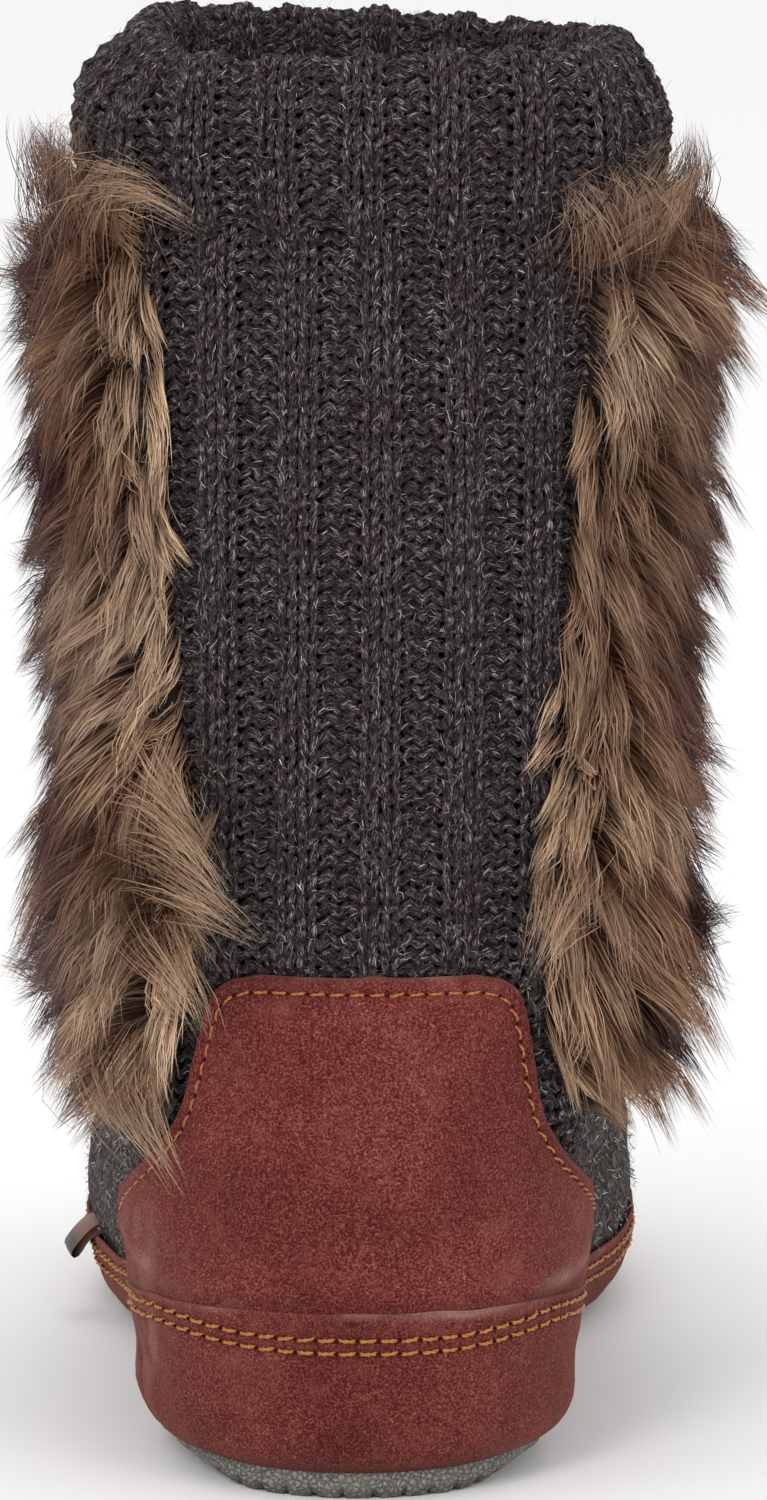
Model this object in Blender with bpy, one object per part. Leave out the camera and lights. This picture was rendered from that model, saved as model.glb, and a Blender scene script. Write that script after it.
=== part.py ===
"""Slipper boot, left foot.

Frame: metres, +Z up, +Y from heel to toe, +X to the inner (medial) side. The origin is under the
middle of the boot's box, on the floor. Sections are given in millimetres from the back of the heel
and moved to that origin when a mesh is made.
"""

import math

import bmesh
import bpy
import numpy as np

for old in list(bpy.data.objects):
    bpy.data.objects.remove(old, do_unlink=True)

MM = 0.001

# ---- driving dimensions, millimetres ------------------------------------------------------------
LENGTH = 272.0            # back of the heel to the tip of the toe, over the suede
MIDDLE_X = 2.5            # the box's middle, from the heel's centre line
MIDDLE_Y = 135.5
SOLE_THICKNESS = 6.0
SOLE_TOE_SPRING = 7.0
SOLE_ARCH_RISE = 1.5
SOLE_HEEL_SCALE = 0.870   # the sole's outline against the suede's
SOLE_BALL_SCALE = 0.905
SOLE_INSET = 5.2          # the sole's end behind the suede's, heel and toe
GROOVE_DEPTH = 1.4
GROOVE_WIDTH = 3.0
WALL = 3.2                # knit and felt
GAP = 0.4                 # between one piece and the next
COUNTER_THICKNESS = 1.5
FOXING_THICKNESS = 1.7
INSOLE_THICKNESS = 3.8
COLLAR_HEIGHT = 256.0     # the upper's own rim, under the turned cuff
CUFF_BOTTOM = 233.4
COLLAR_TILT = 3.0         # the far rim stands higher on the outer side than on the inner side
COLUMNS = 44              # round the upper
FUR_HEM_SIDE = 63.0       # the fur's lower edge at the sides
FUR_HEM_FRONT = 86.0      # and over the instep
FUR_TOP = 232.6
TAB_FROM_BACK = 178.0     # round the foot from the back seam
TAB_LENGTH = 10.0
TAB_THICKNESS = 2.2

# ---- the suede's outline on the floor: half width = width * sin(angle), about a centre line -------
# station, t (0 heel .. 1 toe), width, centre
PLAN = (
    ("heel_end",   0.000, 72.0,  0.0),
    ("heel_back",  0.060, 67.5,  0.0),
    ("heel",       0.130, 58.8,  0.0),
    ("heel_front", 0.220, 48.2, -1.0),
    ("arch",       0.330, 40.9, -2.5),
    ("waist",      0.430, 40.7, -2.2),
    ("midfoot",    0.515, 46.0, -1.0),
    ("ball_back",  0.600, 53.0, -0.2),
    ("ball",       0.700, 58.4,  0.2),
    ("toes",       0.850, 62.5,  1.4),
    ("toe_cap",    0.920, 65.0,  2.2),
    ("toe_end",    1.000, 66.0,  3.2),
)

# ---- the shaft's outline, against its half width --------------------------------------------------
# station, t, width
SHAFT = (
    ("back",       0.00, 1.45),
    ("back_side",  0.05, 1.42),
    ("corner",     0.12, 1.30),
    ("side_back",  0.25, 1.115),
    ("side",       0.50, 1.00),
    ("side_front", 0.75, 1.10),
    ("shin_side",  0.90, 1.20),
    ("shin",       1.00, 1.25),
)

# ---- the upper's outer surface, a row for each section from the sole to the collar ----------------
# name, back_y, back_z, middle_z, front_y, front_z, heel, ball, shaft (0 foot .. 1 shaft), width, shift
SECTIONS = (
    ("feather",     6.6,   6.4,   6.4, 265.6,   6.4, 0.848, 0.880, 0.00, 44.0, 0.0),
    ("turn",        2.9,  11.0,  10.0, 268.6,  10.5, 0.940, 0.950, 0.00, 44.0, 0.0),
    ("band",        2.0,  21.0,  13.8, 269.6,  16.0, 0.955, 0.963, 0.00, 44.0, 0.0),
    ("band_edge",   1.6,  35.5,  17.6, 268.6,  21.5, 0.995, 0.962, 0.00, 44.0, 0.0),
    ("heel_bulge",  1.8,  49.0,  32.0, 264.0,  36.0, 1.040, 0.950, 0.00, 44.0, 0.0),
    ("low_vamp",    2.4,  60.0,  46.5, 254.0,  45.5, 1.030, 0.880, 0.10, 44.0, 0.3),
    ("vamp",        3.6,  70.0,  58.0, 236.0,  50.5, 1.000, 0.780, 0.25, 44.0, 0.7),
    ("instep_low",  5.2,  80.0,  69.0, 214.0,  56.5, 0.960, 0.680, 0.45, 44.0, 1.2),
    ("instep",      7.0,  90.0,  80.0, 190.0,  65.0, 0.930, 0.630, 0.62, 43.8, 1.6),
    ("instep_high", 8.6, 100.0,  92.0, 169.0,  77.5, 0.920, 0.620, 0.80, 43.8, 2.0),
    ("throat",      9.8, 112.0, 106.0, 151.0,  95.0, 0.920, 0.620, 0.93, 44.0, 2.2),
    ("ankle",      10.4, 128.0, 124.0, 138.0, 118.0, 0.920, 0.620, 1.00, 44.4, 2.3),
    ("low_shaft",  10.0, 150.0, 149.0, 129.5, 147.0, 0.920, 0.620, 1.00, 45.2, 2.4),
    ("mid_shaft",   8.6, 175.0, 175.0, 124.0, 175.0, 0.920, 0.620, 1.00, 46.2, 2.5),
    ("high_shaft",  6.8, 205.0, 205.0, 120.0, 205.0, 0.920, 0.620, 1.00, 47.6, 2.5),
    ("under_cuff",  5.6, 233.0, 233.0, 118.0, 233.0, 0.920, 0.620, 1.00, 48.6, 2.5),
    ("collar",      5.2, 256.0, 256.0, 117.0, 256.0, 0.920, 0.620, 1.00, 49.2, 2.5),
)
BAND_EDGE = [row[0] for row in SECTIONS].index("band_edge")
TOP = len(SECTIONS) - 1

# ---- the counter's edge: height at the back, distance round the heel from the back seam -----------
COUNTER_EDGE = (
    ("foot",      36.4, 112.0),
    ("low",       43.5,  96.0),
    ("wing",      49.0,  78.0),
    ("wing_top",  53.5,  64.0),
    ("sweep",     58.0,  51.5),
    ("hollow",    63.0,  43.0),
    ("neck",      70.0,  36.8),
    ("shoulder",  82.0,  33.0),
    ("corner",    91.5,  29.8),
    ("round",     95.0,  25.5),
    ("top",       96.2,  20.0),
)

# ---- the fur: height, distance of its back edge from the back seam, pile depth ---------------------
FUR = (
    ("hem",        64.0, 72.0,  9.0),
    ("low",        70.0, 58.0, 15.0),
    ("corner",     78.0, 41.0, 18.0),
    ("over_heel",  88.0, 35.5, 19.2),
    ("ankle",     105.0, 33.0, 19.6),
    ("calf",      146.0, 35.5, 18.6),
    ("upper",     185.0, 38.5, 19.2),
    ("full",      212.0, 40.5, 20.6),
    ("shoulder",  226.0, 41.0, 18.0),
    ("top",       233.0, 41.5, 12.0),
)

# ---- the cuff's cross section: out from the shaft's outer face, height -----------------------------
CUFF = (
    ("inner_foot", -2.9, 256.4),
    ("inner_side", -3.0, 258.6),
    ("inner_top",  -1.4, 261.0),
    ("crown",       1.4, 262.0),
    ("outer_top",   4.2, 260.6),
    ("outer_side",  5.6, 256.0),
    ("belly",       5.8, 247.0),
    ("skirt",       5.2, 239.0),
    ("hem_outer",   4.4, 233.4),
    ("hem_inner",   1.2, 233.4),
    ("back_low",    0.5, 240.0),
    ("back_top",    0.5, 256.4),
)


# ---- curves ----------------------------------------------------------------------------------------
def smooth(xs, ys):
    """A curve through the points that doesn't overshoot them."""
    xs, ys = np.asarray(xs, float), np.asarray(ys, float)
    h = np.diff(xs)
    d = np.diff(ys) / h
    m = np.zeros(len(xs))
    m[0], m[-1] = d[0], d[-1]
    for i in range(1, len(xs) - 1):
        if d[i - 1] * d[i] > 0:
            a, b = 2 * h[i] + h[i - 1], h[i] + 2 * h[i - 1]
            m[i] = (a + b) / (a / d[i - 1] + b / d[i])

    def at(x):
        x = np.clip(np.asarray(x, float), xs[0], xs[-1])
        i = np.clip(np.searchsorted(xs, x, side="right") - 1, 0, len(h) - 1)
        s = (x - xs[i]) / h[i]
        return (
            ys[i] * (1 + 2 * s) * (1 - s) ** 2
            + ys[i + 1] * s * s * (3 - 2 * s)
            + h[i] * (m[i] * s * (1 - s) ** 2 + m[i + 1] * s * s * (s - 1))
        )

    return at


def column(table, x, y):
    return smooth([row[x] for row in table], [row[y] for row in table])


def ramp(low, high, x):
    s = np.clip((np.asarray(x, float) - low) / (high - low), 0.0, 1.0)
    return s * s * (3 - 2 * s)


plan_width, plan_centre = column(PLAN, 1, 2), column(PLAN, 1, 3)
shaft_width = column(SHAFT, 1, 2)
index = range(len(SECTIONS))
section = {
    name: smooth(index, [row[i] for row in SECTIONS])
    for i, name in enumerate(
        ("", "back_y", "back_z", "middle_z", "front_y", "front_z", "heel", "ball", "shaft", "width", "shift")
    )
    if i
}
level_of_height = smooth([row[2] for row in SECTIONS], index)


def spring(y):
    """The sole's lift off the floor at the toe, at a distance from the heel."""
    return SOLE_TOE_SPRING * np.maximum(0.0, (y - 214.0) / (LENGTH - 214.0)) ** 1.6


def arch(y):
    return SOLE_ARCH_RISE * ramp(78.0, 96.0, y) * (1 - ramp(120.0, 138.0, y))


# ---- the upper's own surface ------------------------------------------------------------------------
def surface(u, v):
    """u runs once round from the back seam by the inner side, v up through the sections."""
    u, v = np.broadcast_arrays(np.asarray(u, float), np.asarray(v, float))
    angle = 2 * math.pi * u
    t = (1 - np.cos(angle)) / 2
    s = {name: at(v) for name, at in section.items()}
    foot = plan_width(t) * (s["heel"] + (s["ball"] - s["heel"]) * ramp(0.25, 0.65, t))
    shaft = shaft_width(t) * s["width"]
    across = foot + (shaft - foot) * s["shaft"]
    x = plan_centre(t) * (1 - s["shaft"]) + s["shift"] + across * np.sin(angle)
    y = s["back_y"] + (s["front_y"] - s["back_y"]) * t
    z = s["back_z"] + (s["middle_z"] - s["back_z"]) * ramp(0.0, 0.55, t)
    z = z + (s["front_z"] - s["middle_z"]) * ramp(0.55, 1.0, t)
    z = z + spring(y) * np.clip(1 - (z - 6.0) / 40.0, 0.0, 1.0)
    z = z + rim_lift(x, y) * ramp(180.0, COLLAR_HEIGHT, s["back_z"])
    return np.stack((x, y, z), -1)


def rim_lift(x, y):
    return -COLLAR_TILT * (x - MIDDLE_X) / 45.0 * np.maximum(0.0, (y - 20.0) / 90.0)


def unit(n):
    return n / np.linalg.norm(n, axis=-1, keepdims=True)


def normal(u, v):
    e = 1e-3
    along = surface(u + e, v) - surface(u - e, v)
    up = surface(u, np.minimum(v + e, TOP)) - surface(u, np.maximum(v - e, 0.0))
    return unit(np.cross(along, up))


def offset(u, v, out, floor=None):
    """Points that far outside the surface. Near the sole they move level, so the edge stays flat."""
    u, v, out = np.broadcast_arrays(np.asarray(u, float), np.asarray(v, float), np.asarray(out, float))
    n = normal(u, v)
    level = unit(n * (1.0, 1.0, 0.0))
    n = unit(n + (level - n) * (1 - ramp(0.0, 1.0, v))[..., None])
    p = surface(u, v) + n * out[..., None]
    if floor is not None:
        p[..., 2] = np.maximum(p[..., 2], floor + spring(p[..., 1]))
    return p


ROUND = np.linspace(0.0, 1.0, 481)
rounds = {}


def round_table(v):
    """Distance round a section from the back seam, at even steps of u."""
    key = round(float(v), 2)
    if key not in rounds:
        steps = np.linalg.norm(np.diff(surface(ROUND, key), axis=0), axis=1)
        rounds[key] = np.concatenate(([0.0], np.cumsum(steps)))
    return rounds[key]


def u_at(v, distance):
    """The u at a distance from the back seam; the outer side has negative distances."""
    runs = round_table(v)
    if distance < 0:
        return float(np.interp(runs[-1] + distance, runs, ROUND)) - 1.0
    return float(np.interp(distance, runs, ROUND))


def level_at(u, height):
    """The v at which the surface reaches a height."""
    low, high = 0.0, float(TOP)
    for _ in range(18):
        v = (low + high) / 2
        low, high = (v, high) if surface(u, v)[2] < height else (low, v)
    return low


# ---- making objects -----------------------------------------------------------------------------------
def to_world(p):
    return ((p[0] - MIDDLE_X) * MM, (p[1] - MIDDLE_Y) * MM, p[2] * MM)


def material(name, colour, roughness):
    made = bpy.data.materials.new(name)
    made.use_nodes = True
    shader = made.node_tree.nodes["Principled BSDF"]
    shader.inputs["Base Color"].default_value = (*colour, 1.0)
    shader.inputs["Roughness"].default_value = roughness
    shader.inputs["Metallic"].default_value = 0.0
    made.diffuse_color = (*colour, 1.0)
    return made


def piece(name, bm, made):
    bmesh.ops.remove_doubles(bm, verts=bm.verts, dist=1e-6)
    bmesh.ops.recalc_face_normals(bm, faces=bm.faces)
    if bm.calc_volume(signed=True) < 0:
        bmesh.ops.reverse_faces(bm, faces=bm.faces)
    mesh = bpy.data.meshes.new(name)
    bm.to_mesh(mesh)
    bm.free()
    mesh.materials.append(made)
    mesh.shade_smooth()
    mesh.set_sharp_from_angle(angle=math.radians(40))
    obj = bpy.data.objects.new(name, mesh)
    bpy.context.collection.objects.link(obj)
    return obj


def grid(bm, rows, closed_across=False, closed_up=False):
    """Quads over rows of points. Returns the vertices."""
    verts = [[bm.verts.new(to_world(p)) for p in row] for row in rows]
    count, width = len(verts), len(verts[0])
    for j in range(count if closed_up else count - 1):
        a, b = verts[j], verts[(j + 1) % count]
        for i in range(width if closed_across else width - 1):
            k = (i + 1) % width
            bm.faces.new((a[i], a[k], b[k], b[i]))
    return verts


def stitch(bm, a, b, closed=False):
    """A strip of quads between two equal rows of vertices."""
    for i in range(len(a) if closed else len(a) - 1):
        k = (i + 1) % len(a)
        bm.faces.new((a[i], a[k], b[k], b[i]))


def ring_solid(bm, outer, inner):
    """Two closed tubes joined at both ends: a wall."""
    out, into = grid(bm, outer, True), grid(bm, inner, True)
    stitch(bm, out[0], into[0], True)
    stitch(bm, out[-1], into[-1], True)


def patch_solid(bm, outer, inner):
    """Two open sheets joined round their four edges: a panel."""
    out, into = grid(bm, outer), grid(bm, inner)
    stitch(bm, out[0], into[0])
    stitch(bm, out[-1], into[-1])
    stitch(bm, [row[0] for row in out], [row[0] for row in into])
    stitch(bm, [row[-1] for row in out], [row[-1] for row in into])


suede = material("suede", (0.173, 0.037, 0.031), 0.9)
rubber = material("rubber", (0.160, 0.150, 0.136), 0.75)
knit = material("knit", (0.037, 0.029, 0.031), 0.95)
felt = material("felt", (0.070, 0.055, 0.053), 0.95)
fur = material("fur", (0.125, 0.070, 0.046), 0.8)
tab_cloth = material("tab", (0.030, 0.030, 0.033), 0.5)


# ---- outsole: cross sections from heel to toe, with grooves across it --------------------------------
def sole_half(y):
    """The sole's half width and centre at a distance from the heel."""
    start, end = SOLE_INSET, LENGTH - SOLE_INSET
    t = min(max((y - start) / (end - start), 0.0), 1.0)
    scale = SOLE_HEEL_SCALE + (SOLE_BALL_SCALE - SOLE_HEEL_SCALE) * ramp(0.25, 0.65, t)
    return plan_width(t) * scale * 2 * math.sqrt(t * (1 - t)), plan_centre(t)


# name, first groove, last groove, pitch
GROOVE_RUNS = (
    ("heel_back",   14.0,  34.0, 10.0),
    ("heel_front",  50.0,  70.0, 10.0),
    ("waist",       84.0, 132.0, 12.0),
    ("ball_back",  142.0, 162.0, 10.0),
    ("ball_front", 180.0, 210.0, 10.0),
    ("toes",       221.0, 254.0, 11.0),
)


def sole_stations():
    """(distance from the heel, depth cut in the bottom), heel to toe."""
    end = LENGTH - SOLE_INSET
    stations = [(SOLE_INSET + d, 0.0) for d in (0.35, 1.4, 3.2, 6.0)]
    for _, first, last, pitch in GROOVE_RUNS:
        for i in range(int(round((last - first) / pitch)) + 1):
            y = first + i * pitch
            stations += [
                (y, 0.0),
                (y + 0.4, GROOVE_DEPTH),
                (y + GROOVE_WIDTH - 0.4, GROOVE_DEPTH),
                (y + GROOVE_WIDTH, 0.0),
            ]
    stations += [(end - d, 0.0) for d in (6.0, 3.2, 1.4, 0.35)]
    return stations


bm = bmesh.new()
loops = []
for y, cut in sole_stations():
    half, centre = sole_half(y)
    floor = spring(y) + arch(y)
    top = SOLE_THICKNESS + spring(y)
    edge = min(1.0, half * 0.2)
    right = [
        (half - edge, floor + cut),
        (half, floor + max(1.2, cut + 0.5)),
        (half, top - 0.5),
        (half - 0.5 * edge, top),
    ]
    loop = [(centre + a, b) for a, b in right]
    loop += [(centre - a, b) for a, b in reversed(right)]
    loops.append([(x, y, z) for x, z in loop])
ends = grid(bm, loops, True)
for end in (ends[0], ends[-1]):
    bm.faces.new(end)
piece("outsole", bm, rubber)

# ---- upper: one hollow wall, open at the collar and underneath ----------------------------------------
levels = [0.0, 0.5, 1.0, 2.0, 3.0, 3.5, 4.0, 4.5] + [5.0 + 0.5 * i for i in range(9)] + [
    10.0, 10.5, 11.0, 12.0, 13.0, 14.0, 15.0, float(TOP)
]
around = np.arange(COLUMNS) / COLUMNS
U, V = np.meshgrid(around, levels)

bm = bmesh.new()
outer = surface(U, V)
inner = offset(U, V, -WALL, SOLE_THICKNESS + GAP)
inner[0, :, 2] = outer[0, :, 2]
inner[-1, :, 2] = outer[-1, :, 2]
ring_solid(bm, outer, inner)
piece("upper", bm, felt)

# ---- the form that the overlays are cut against: the upper, a gap larger -------------------------------
bm = bmesh.new()
form = offset(U, V, GAP)
foot = form[0].copy()
foot[:, 2] = 2.0
top = form[-1].copy()
top[:, 2] += 4.0
rows = grid(bm, [foot, *form, top], True)
bm.faces.new(rows[0])
bm.faces.new(rows[-1])
cutter = piece("upper_form", bm, felt)
cutter.hide_render = True
cutter.display_type = "WIRE"


def cut_by_form(obj):
    cut = obj.modifiers.new("fit", "BOOLEAN")
    cut.operation = "DIFFERENCE"
    cut.object = cutter
    return obj


# ---- insole: a felt footbed on the sole, inside the wall -----------------------------------------------
bm = bmesh.new()
rims = []
for height, draw_in in ((0.35, 0.0), (INSOLE_THICKNESS - 0.4, 0.0), (INSOLE_THICKNESS, 0.8)):
    rim = offset(around, 0.0, -WALL - GAP - draw_in)
    rim[:, 2] = SOLE_THICKNESS + height + spring(rim[:, 1])
    rims.append(rim)
rows = grid(bm, rims, True)
half = COLUMNS // 2
for ring in (rows[0], rows[-1]):
    for i in range(half):  # strips across the foot, so the face follows the toe spring
        corners = []
        for k in (i, i + 1, COLUMNS - i - 1, COLUMNS - i):
            if ring[k % COLUMNS] not in corners:
                corners.append(ring[k % COLUMNS])
        bm.faces.new(corners)
piece("insole", bm, felt)

# ---- foxing: a suede band round the foot, its foot turned in to the sole -------------------------------
bm = bmesh.new()
low = SOLE_THICKNESS + GAP
FU, FV = np.meshgrid(around, levels[: levels.index(float(BAND_EDGE)) + 1])
outer = offset(FU, FV, GAP + FOXING_THICKNESS, low)
inner = offset(FU, FV, GAP, low)
outer[0, :, 2] = low + spring(outer[0, :, 1])
inner[0, :, 2] = low + spring(inner[0, :, 1])
ring_solid(bm, outer, inner)
piece("foxing", bm, suede)

# ---- heel counter: a suede panel on the heel, above the band ----------------------------------------------
bm = bmesh.new()
COUNTER_COLUMNS = 24
counter_reach = column(COUNTER_EDGE, 1, 2)
us, vs = [], []
for name, height, reach in COUNTER_EDGE:
    v = BAND_EDGE + 0.07 if name == "foot" else float(level_of_height(height))
    us.append([u_at(v, reach * (2 * i / COUNTER_COLUMNS - 1)) for i in range(COUNTER_COLUMNS + 1)])
    vs.append([v] * (COUNTER_COLUMNS + 1))
us, vs = np.array(us), np.array(vs)
patch_solid(bm, offset(us, vs, GAP + COUNTER_THICKNESS), offset(us, vs, -1.2))
cut_by_form(piece("heel_counter", bm, suede))

# ---- fur panel: deep pile round the front and both sides of the shaft --------------------------------------
bm = bmesh.new()
FUR_COLUMNS, FUR_ROWS = 36, 13
fur_edge, fur_depth = column(FUR, 1, 2), column(FUR, 1, 3)
us, vs, depths = [], [], []
for j in range(FUR_ROWS + 1):
    share = j / FUR_ROWS
    row_u, row_v, row_d = [], [], []
    for i in range(FUR_COLUMNS + 1):
        across = i / FUR_COLUMNS
        side = 1 - abs(2 * across - 1)                      # 0 at the back edges, 1 at the front
        hem = FUR_HEM_SIDE + (FUR_HEM_FRONT - FUR_HEM_SIDE) * ramp(0.35, 1.0, side)
        height = hem + (FUR_TOP - hem) * share
        u, v, reach = 0.5, float(level_of_height(height)), float(fur_edge(height))
        for _ in range(2):
            around_here = round_table(v)[-1] - 2 * reach
            u = u_at(v, reach + around_here * across)
            v = level_at(u, height)
        near = min(across, 1 - across) * around_here
        edge = 0.30 + 0.70 * math.sin(min(1.0, near / 34.0) * math.pi / 2)
        low = 0.45 + 0.55 * float(ramp(0.0, 0.14, share))
        row_u.append(u)
        row_v.append(v)
        row_d.append(float(fur_depth(height)) * edge * low)
    us.append(row_u)
    vs.append(row_v)
    depths.append(row_d)
us, vs, depths = np.array(us), np.array(vs), np.array(depths)
patch_solid(bm, offset(us, vs, GAP + depths), offset(us, vs, -1.6))
cut_by_form(piece("fur_panel", bm, fur))

# ---- cuff: the knit turned over the collar ------------------------------------------------------------------
bm = bmesh.new()
profile = []
for _, out, height in CUFF:
    v = min(float(level_of_height(min(height, COLLAR_HEIGHT))), float(TOP))
    n = unit(normal(around, v) * (1.0, 1.0, 0.0))
    ring = surface(around, v) + n * out
    tilt = float(ramp(CUFF_BOTTOM, COLLAR_HEIGHT, height))
    ring[:, 2] = height + rim_lift(ring[:, 0], ring[:, 1]) * tilt
    profile.append(ring)
grid(bm, profile, True, True)
piece("cuff", bm, knit)

# ---- side tab: a small folded tab standing out of the band's top edge, outer side ---------------------------
bm = bmesh.new()
v = BAND_EDGE + 0.10
us = np.array([u_at(v, -(TAB_FROM_BACK + TAB_LENGTH * i / 3)) for i in range(4)])
under = []
for out, rise in ((GAP + 0.1, 0.5), (2.2, 0.6), (4.6, 0.1), (6.0, -0.6)):
    under.append(offset(us, v, out) + (0.0, 0.0, rise))
under = np.array(under)
patch_solid(bm, under + (0.0, 0.0, TAB_THICKNESS), under)
piece("side_tab", bm, tab_cloth)
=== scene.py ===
"""Slipper boot: the looks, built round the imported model.

Sizes are in millimetres in the boot's own frame, as in part.py: Y from the back of the heel to the
toe, X from the heel's centre line to the inner side, Z up from the floor. mesh_of() moves them to
the model's frame, in metres.
"""

import math

import bpy
import numpy as np
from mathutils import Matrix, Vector, kdtree


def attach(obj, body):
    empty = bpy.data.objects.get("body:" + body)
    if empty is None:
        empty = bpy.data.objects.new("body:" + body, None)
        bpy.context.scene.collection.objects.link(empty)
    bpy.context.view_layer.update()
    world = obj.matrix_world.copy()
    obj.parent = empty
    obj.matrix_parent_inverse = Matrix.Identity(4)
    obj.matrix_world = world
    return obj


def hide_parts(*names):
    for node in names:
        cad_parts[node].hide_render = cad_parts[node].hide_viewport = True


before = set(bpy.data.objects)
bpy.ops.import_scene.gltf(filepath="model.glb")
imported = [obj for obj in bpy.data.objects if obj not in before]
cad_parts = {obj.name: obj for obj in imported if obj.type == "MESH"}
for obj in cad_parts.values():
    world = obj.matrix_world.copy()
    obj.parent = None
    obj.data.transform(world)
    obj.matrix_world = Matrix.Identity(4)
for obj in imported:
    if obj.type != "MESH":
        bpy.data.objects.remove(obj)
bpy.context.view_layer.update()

MM = 0.001
LENGTH = 272.0
MIDDLE_X, MIDDLE_Y = 2.5, 135.5
SOLE_THICKNESS, SOLE_TOE_SPRING, SOLE_ARCH_RISE = 6.0, 7.0, 1.5
SOLE_HEEL_SCALE, SOLE_BALL_SCALE, SOLE_INSET = 0.870, 0.905, 5.2
GROOVE_DEPTH, GROOVE_WIDTH = 1.4, 3.0
WALL, GAP = 3.2, 0.4
COUNTER_THICKNESS, FOXING_THICKNESS, INSOLE_THICKNESS = 1.5, 1.7, 3.8
COLLAR_HEIGHT, CUFF_BOTTOM, COLLAR_TILT = 256.0, 233.4, 3.0
FUR_HEM_SIDE, FUR_HEM_FRONT, FUR_TOP = 63.0, 86.0, 232.6
TAB_FROM_BACK, TAB_LENGTH, TAB_THICKNESS = 178.0, 10.0, 2.2

# station, t (0 heel .. 1 toe), width, centre
PLAN = (
    ("heel_end",   0.000, 72.0,  0.0),
    ("heel_back",  0.060, 67.5,  0.0),
    ("heel",       0.130, 58.8,  0.0),
    ("heel_front", 0.220, 48.2, -1.0),
    ("arch",       0.330, 40.9, -2.5),
    ("waist",      0.430, 40.7, -2.2),
    ("midfoot",    0.515, 46.0, -1.0),
    ("ball_back",  0.600, 53.0, -0.2),
    ("ball",       0.700, 58.4,  0.2),
    ("toes",       0.850, 62.5,  1.4),
    ("toe_cap",    0.920, 65.0,  2.2),
    ("toe_end",    1.000, 66.0,  3.2),
)

# station, t, width
SHAFT = (
    ("back",       0.00, 1.45),
    ("back_side",  0.05, 1.42),
    ("corner",     0.12, 1.30),
    ("side_back",  0.25, 1.115),
    ("side",       0.50, 1.00),
    ("side_front", 0.75, 1.10),
    ("shin_side",  0.90, 1.20),
    ("shin",       1.00, 1.25),
)

# name, back_y, back_z, middle_z, front_y, front_z, heel, ball, shaft (0 foot .. 1 shaft), width, shift
SECTIONS = (
    ("feather",     6.6,   6.4,   6.4, 265.6,   6.4, 0.848, 0.880, 0.00, 44.0, 0.0),
    ("turn",        2.9,  11.0,  10.0, 268.6,  10.5, 0.940, 0.950, 0.00, 44.0, 0.0),
    ("band",        2.0,  21.0,  13.8, 269.6,  16.0, 0.955, 0.963, 0.00, 44.0, 0.0),
    ("band_edge",   1.6,  35.5,  17.6, 268.6,  21.5, 0.995, 0.962, 0.00, 44.0, 0.0),
    ("heel_bulge",  1.8,  49.0,  32.0, 264.0,  36.0, 1.040, 0.950, 0.00, 44.0, 0.0),
    ("low_vamp",    2.4,  60.0,  46.5, 254.0,  45.5, 1.030, 0.880, 0.10, 44.0, 0.3),
    ("vamp",        3.6,  70.0,  58.0, 236.0,  50.5, 1.000, 0.780, 0.25, 44.0, 0.7),
    ("instep_low",  5.2,  80.0,  69.0, 214.0,  56.5, 0.960, 0.680, 0.45, 44.0, 1.2),
    ("instep",      7.0,  90.0,  80.0, 190.0,  65.0, 0.930, 0.630, 0.62, 43.8, 1.6),
    ("instep_high", 8.6, 100.0,  92.0, 169.0,  77.5, 0.920, 0.620, 0.80, 43.8, 2.0),
    ("throat",      9.8, 112.0, 106.0, 151.0,  95.0, 0.920, 0.620, 0.93, 44.0, 2.2),
    ("ankle",      10.4, 128.0, 124.0, 138.0, 118.0, 0.920, 0.620, 1.00, 44.4, 2.3),
    ("low_shaft",  10.0, 150.0, 149.0, 129.5, 147.0, 0.920, 0.620, 1.00, 45.2, 2.4),
    ("mid_shaft",   8.6, 175.0, 175.0, 124.0, 175.0, 0.920, 0.620, 1.00, 46.2, 2.5),
    ("high_shaft",  6.8, 205.0, 205.0, 120.0, 205.0, 0.920, 0.620, 1.00, 47.6, 2.5),
    ("under_cuff",  5.6, 233.0, 233.0, 118.0, 233.0, 0.920, 0.620, 1.00, 48.6, 2.5),
    ("collar",      5.2, 256.0, 256.0, 117.0, 256.0, 0.920, 0.620, 1.00, 49.2, 2.5),
)
BAND_EDGE = [row[0] for row in SECTIONS].index("band_edge")
TOP = len(SECTIONS) - 1

# the counter's edge: height at the back, distance round the heel from the back seam
COUNTER_EDGE = (
    ("foot",      36.4, 112.0),
    ("low",       43.5,  96.0),
    ("wing",      49.0,  78.0),
    ("wing_top",  53.5,  64.0),
    ("sweep",     58.0,  51.5),
    ("hollow",    63.0,  43.0),
    ("neck",      70.0,  36.8),
    ("shoulder",  82.0,  33.0),
    ("corner",    91.5,  29.8),
    ("round",     95.0,  25.5),
    ("top",       96.2,  20.0),
)

# the fur: height, distance of its back edge from the back seam, pile depth
FUR = (
    ("hem",        64.0, 72.0,  9.0),
    ("low",        70.0, 58.0, 15.0),
    ("corner",     78.0, 41.0, 18.0),
    ("over_heel",  88.0, 35.5, 19.2),
    ("ankle",     105.0, 33.0, 19.6),
    ("calf",      146.0, 35.5, 18.6),
    ("upper",     185.0, 38.5, 19.2),
    ("full",      212.0, 40.5, 20.6),
    ("shoulder",  226.0, 41.0, 18.0),
    ("top",       233.0, 41.5, 12.0),
)

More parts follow.
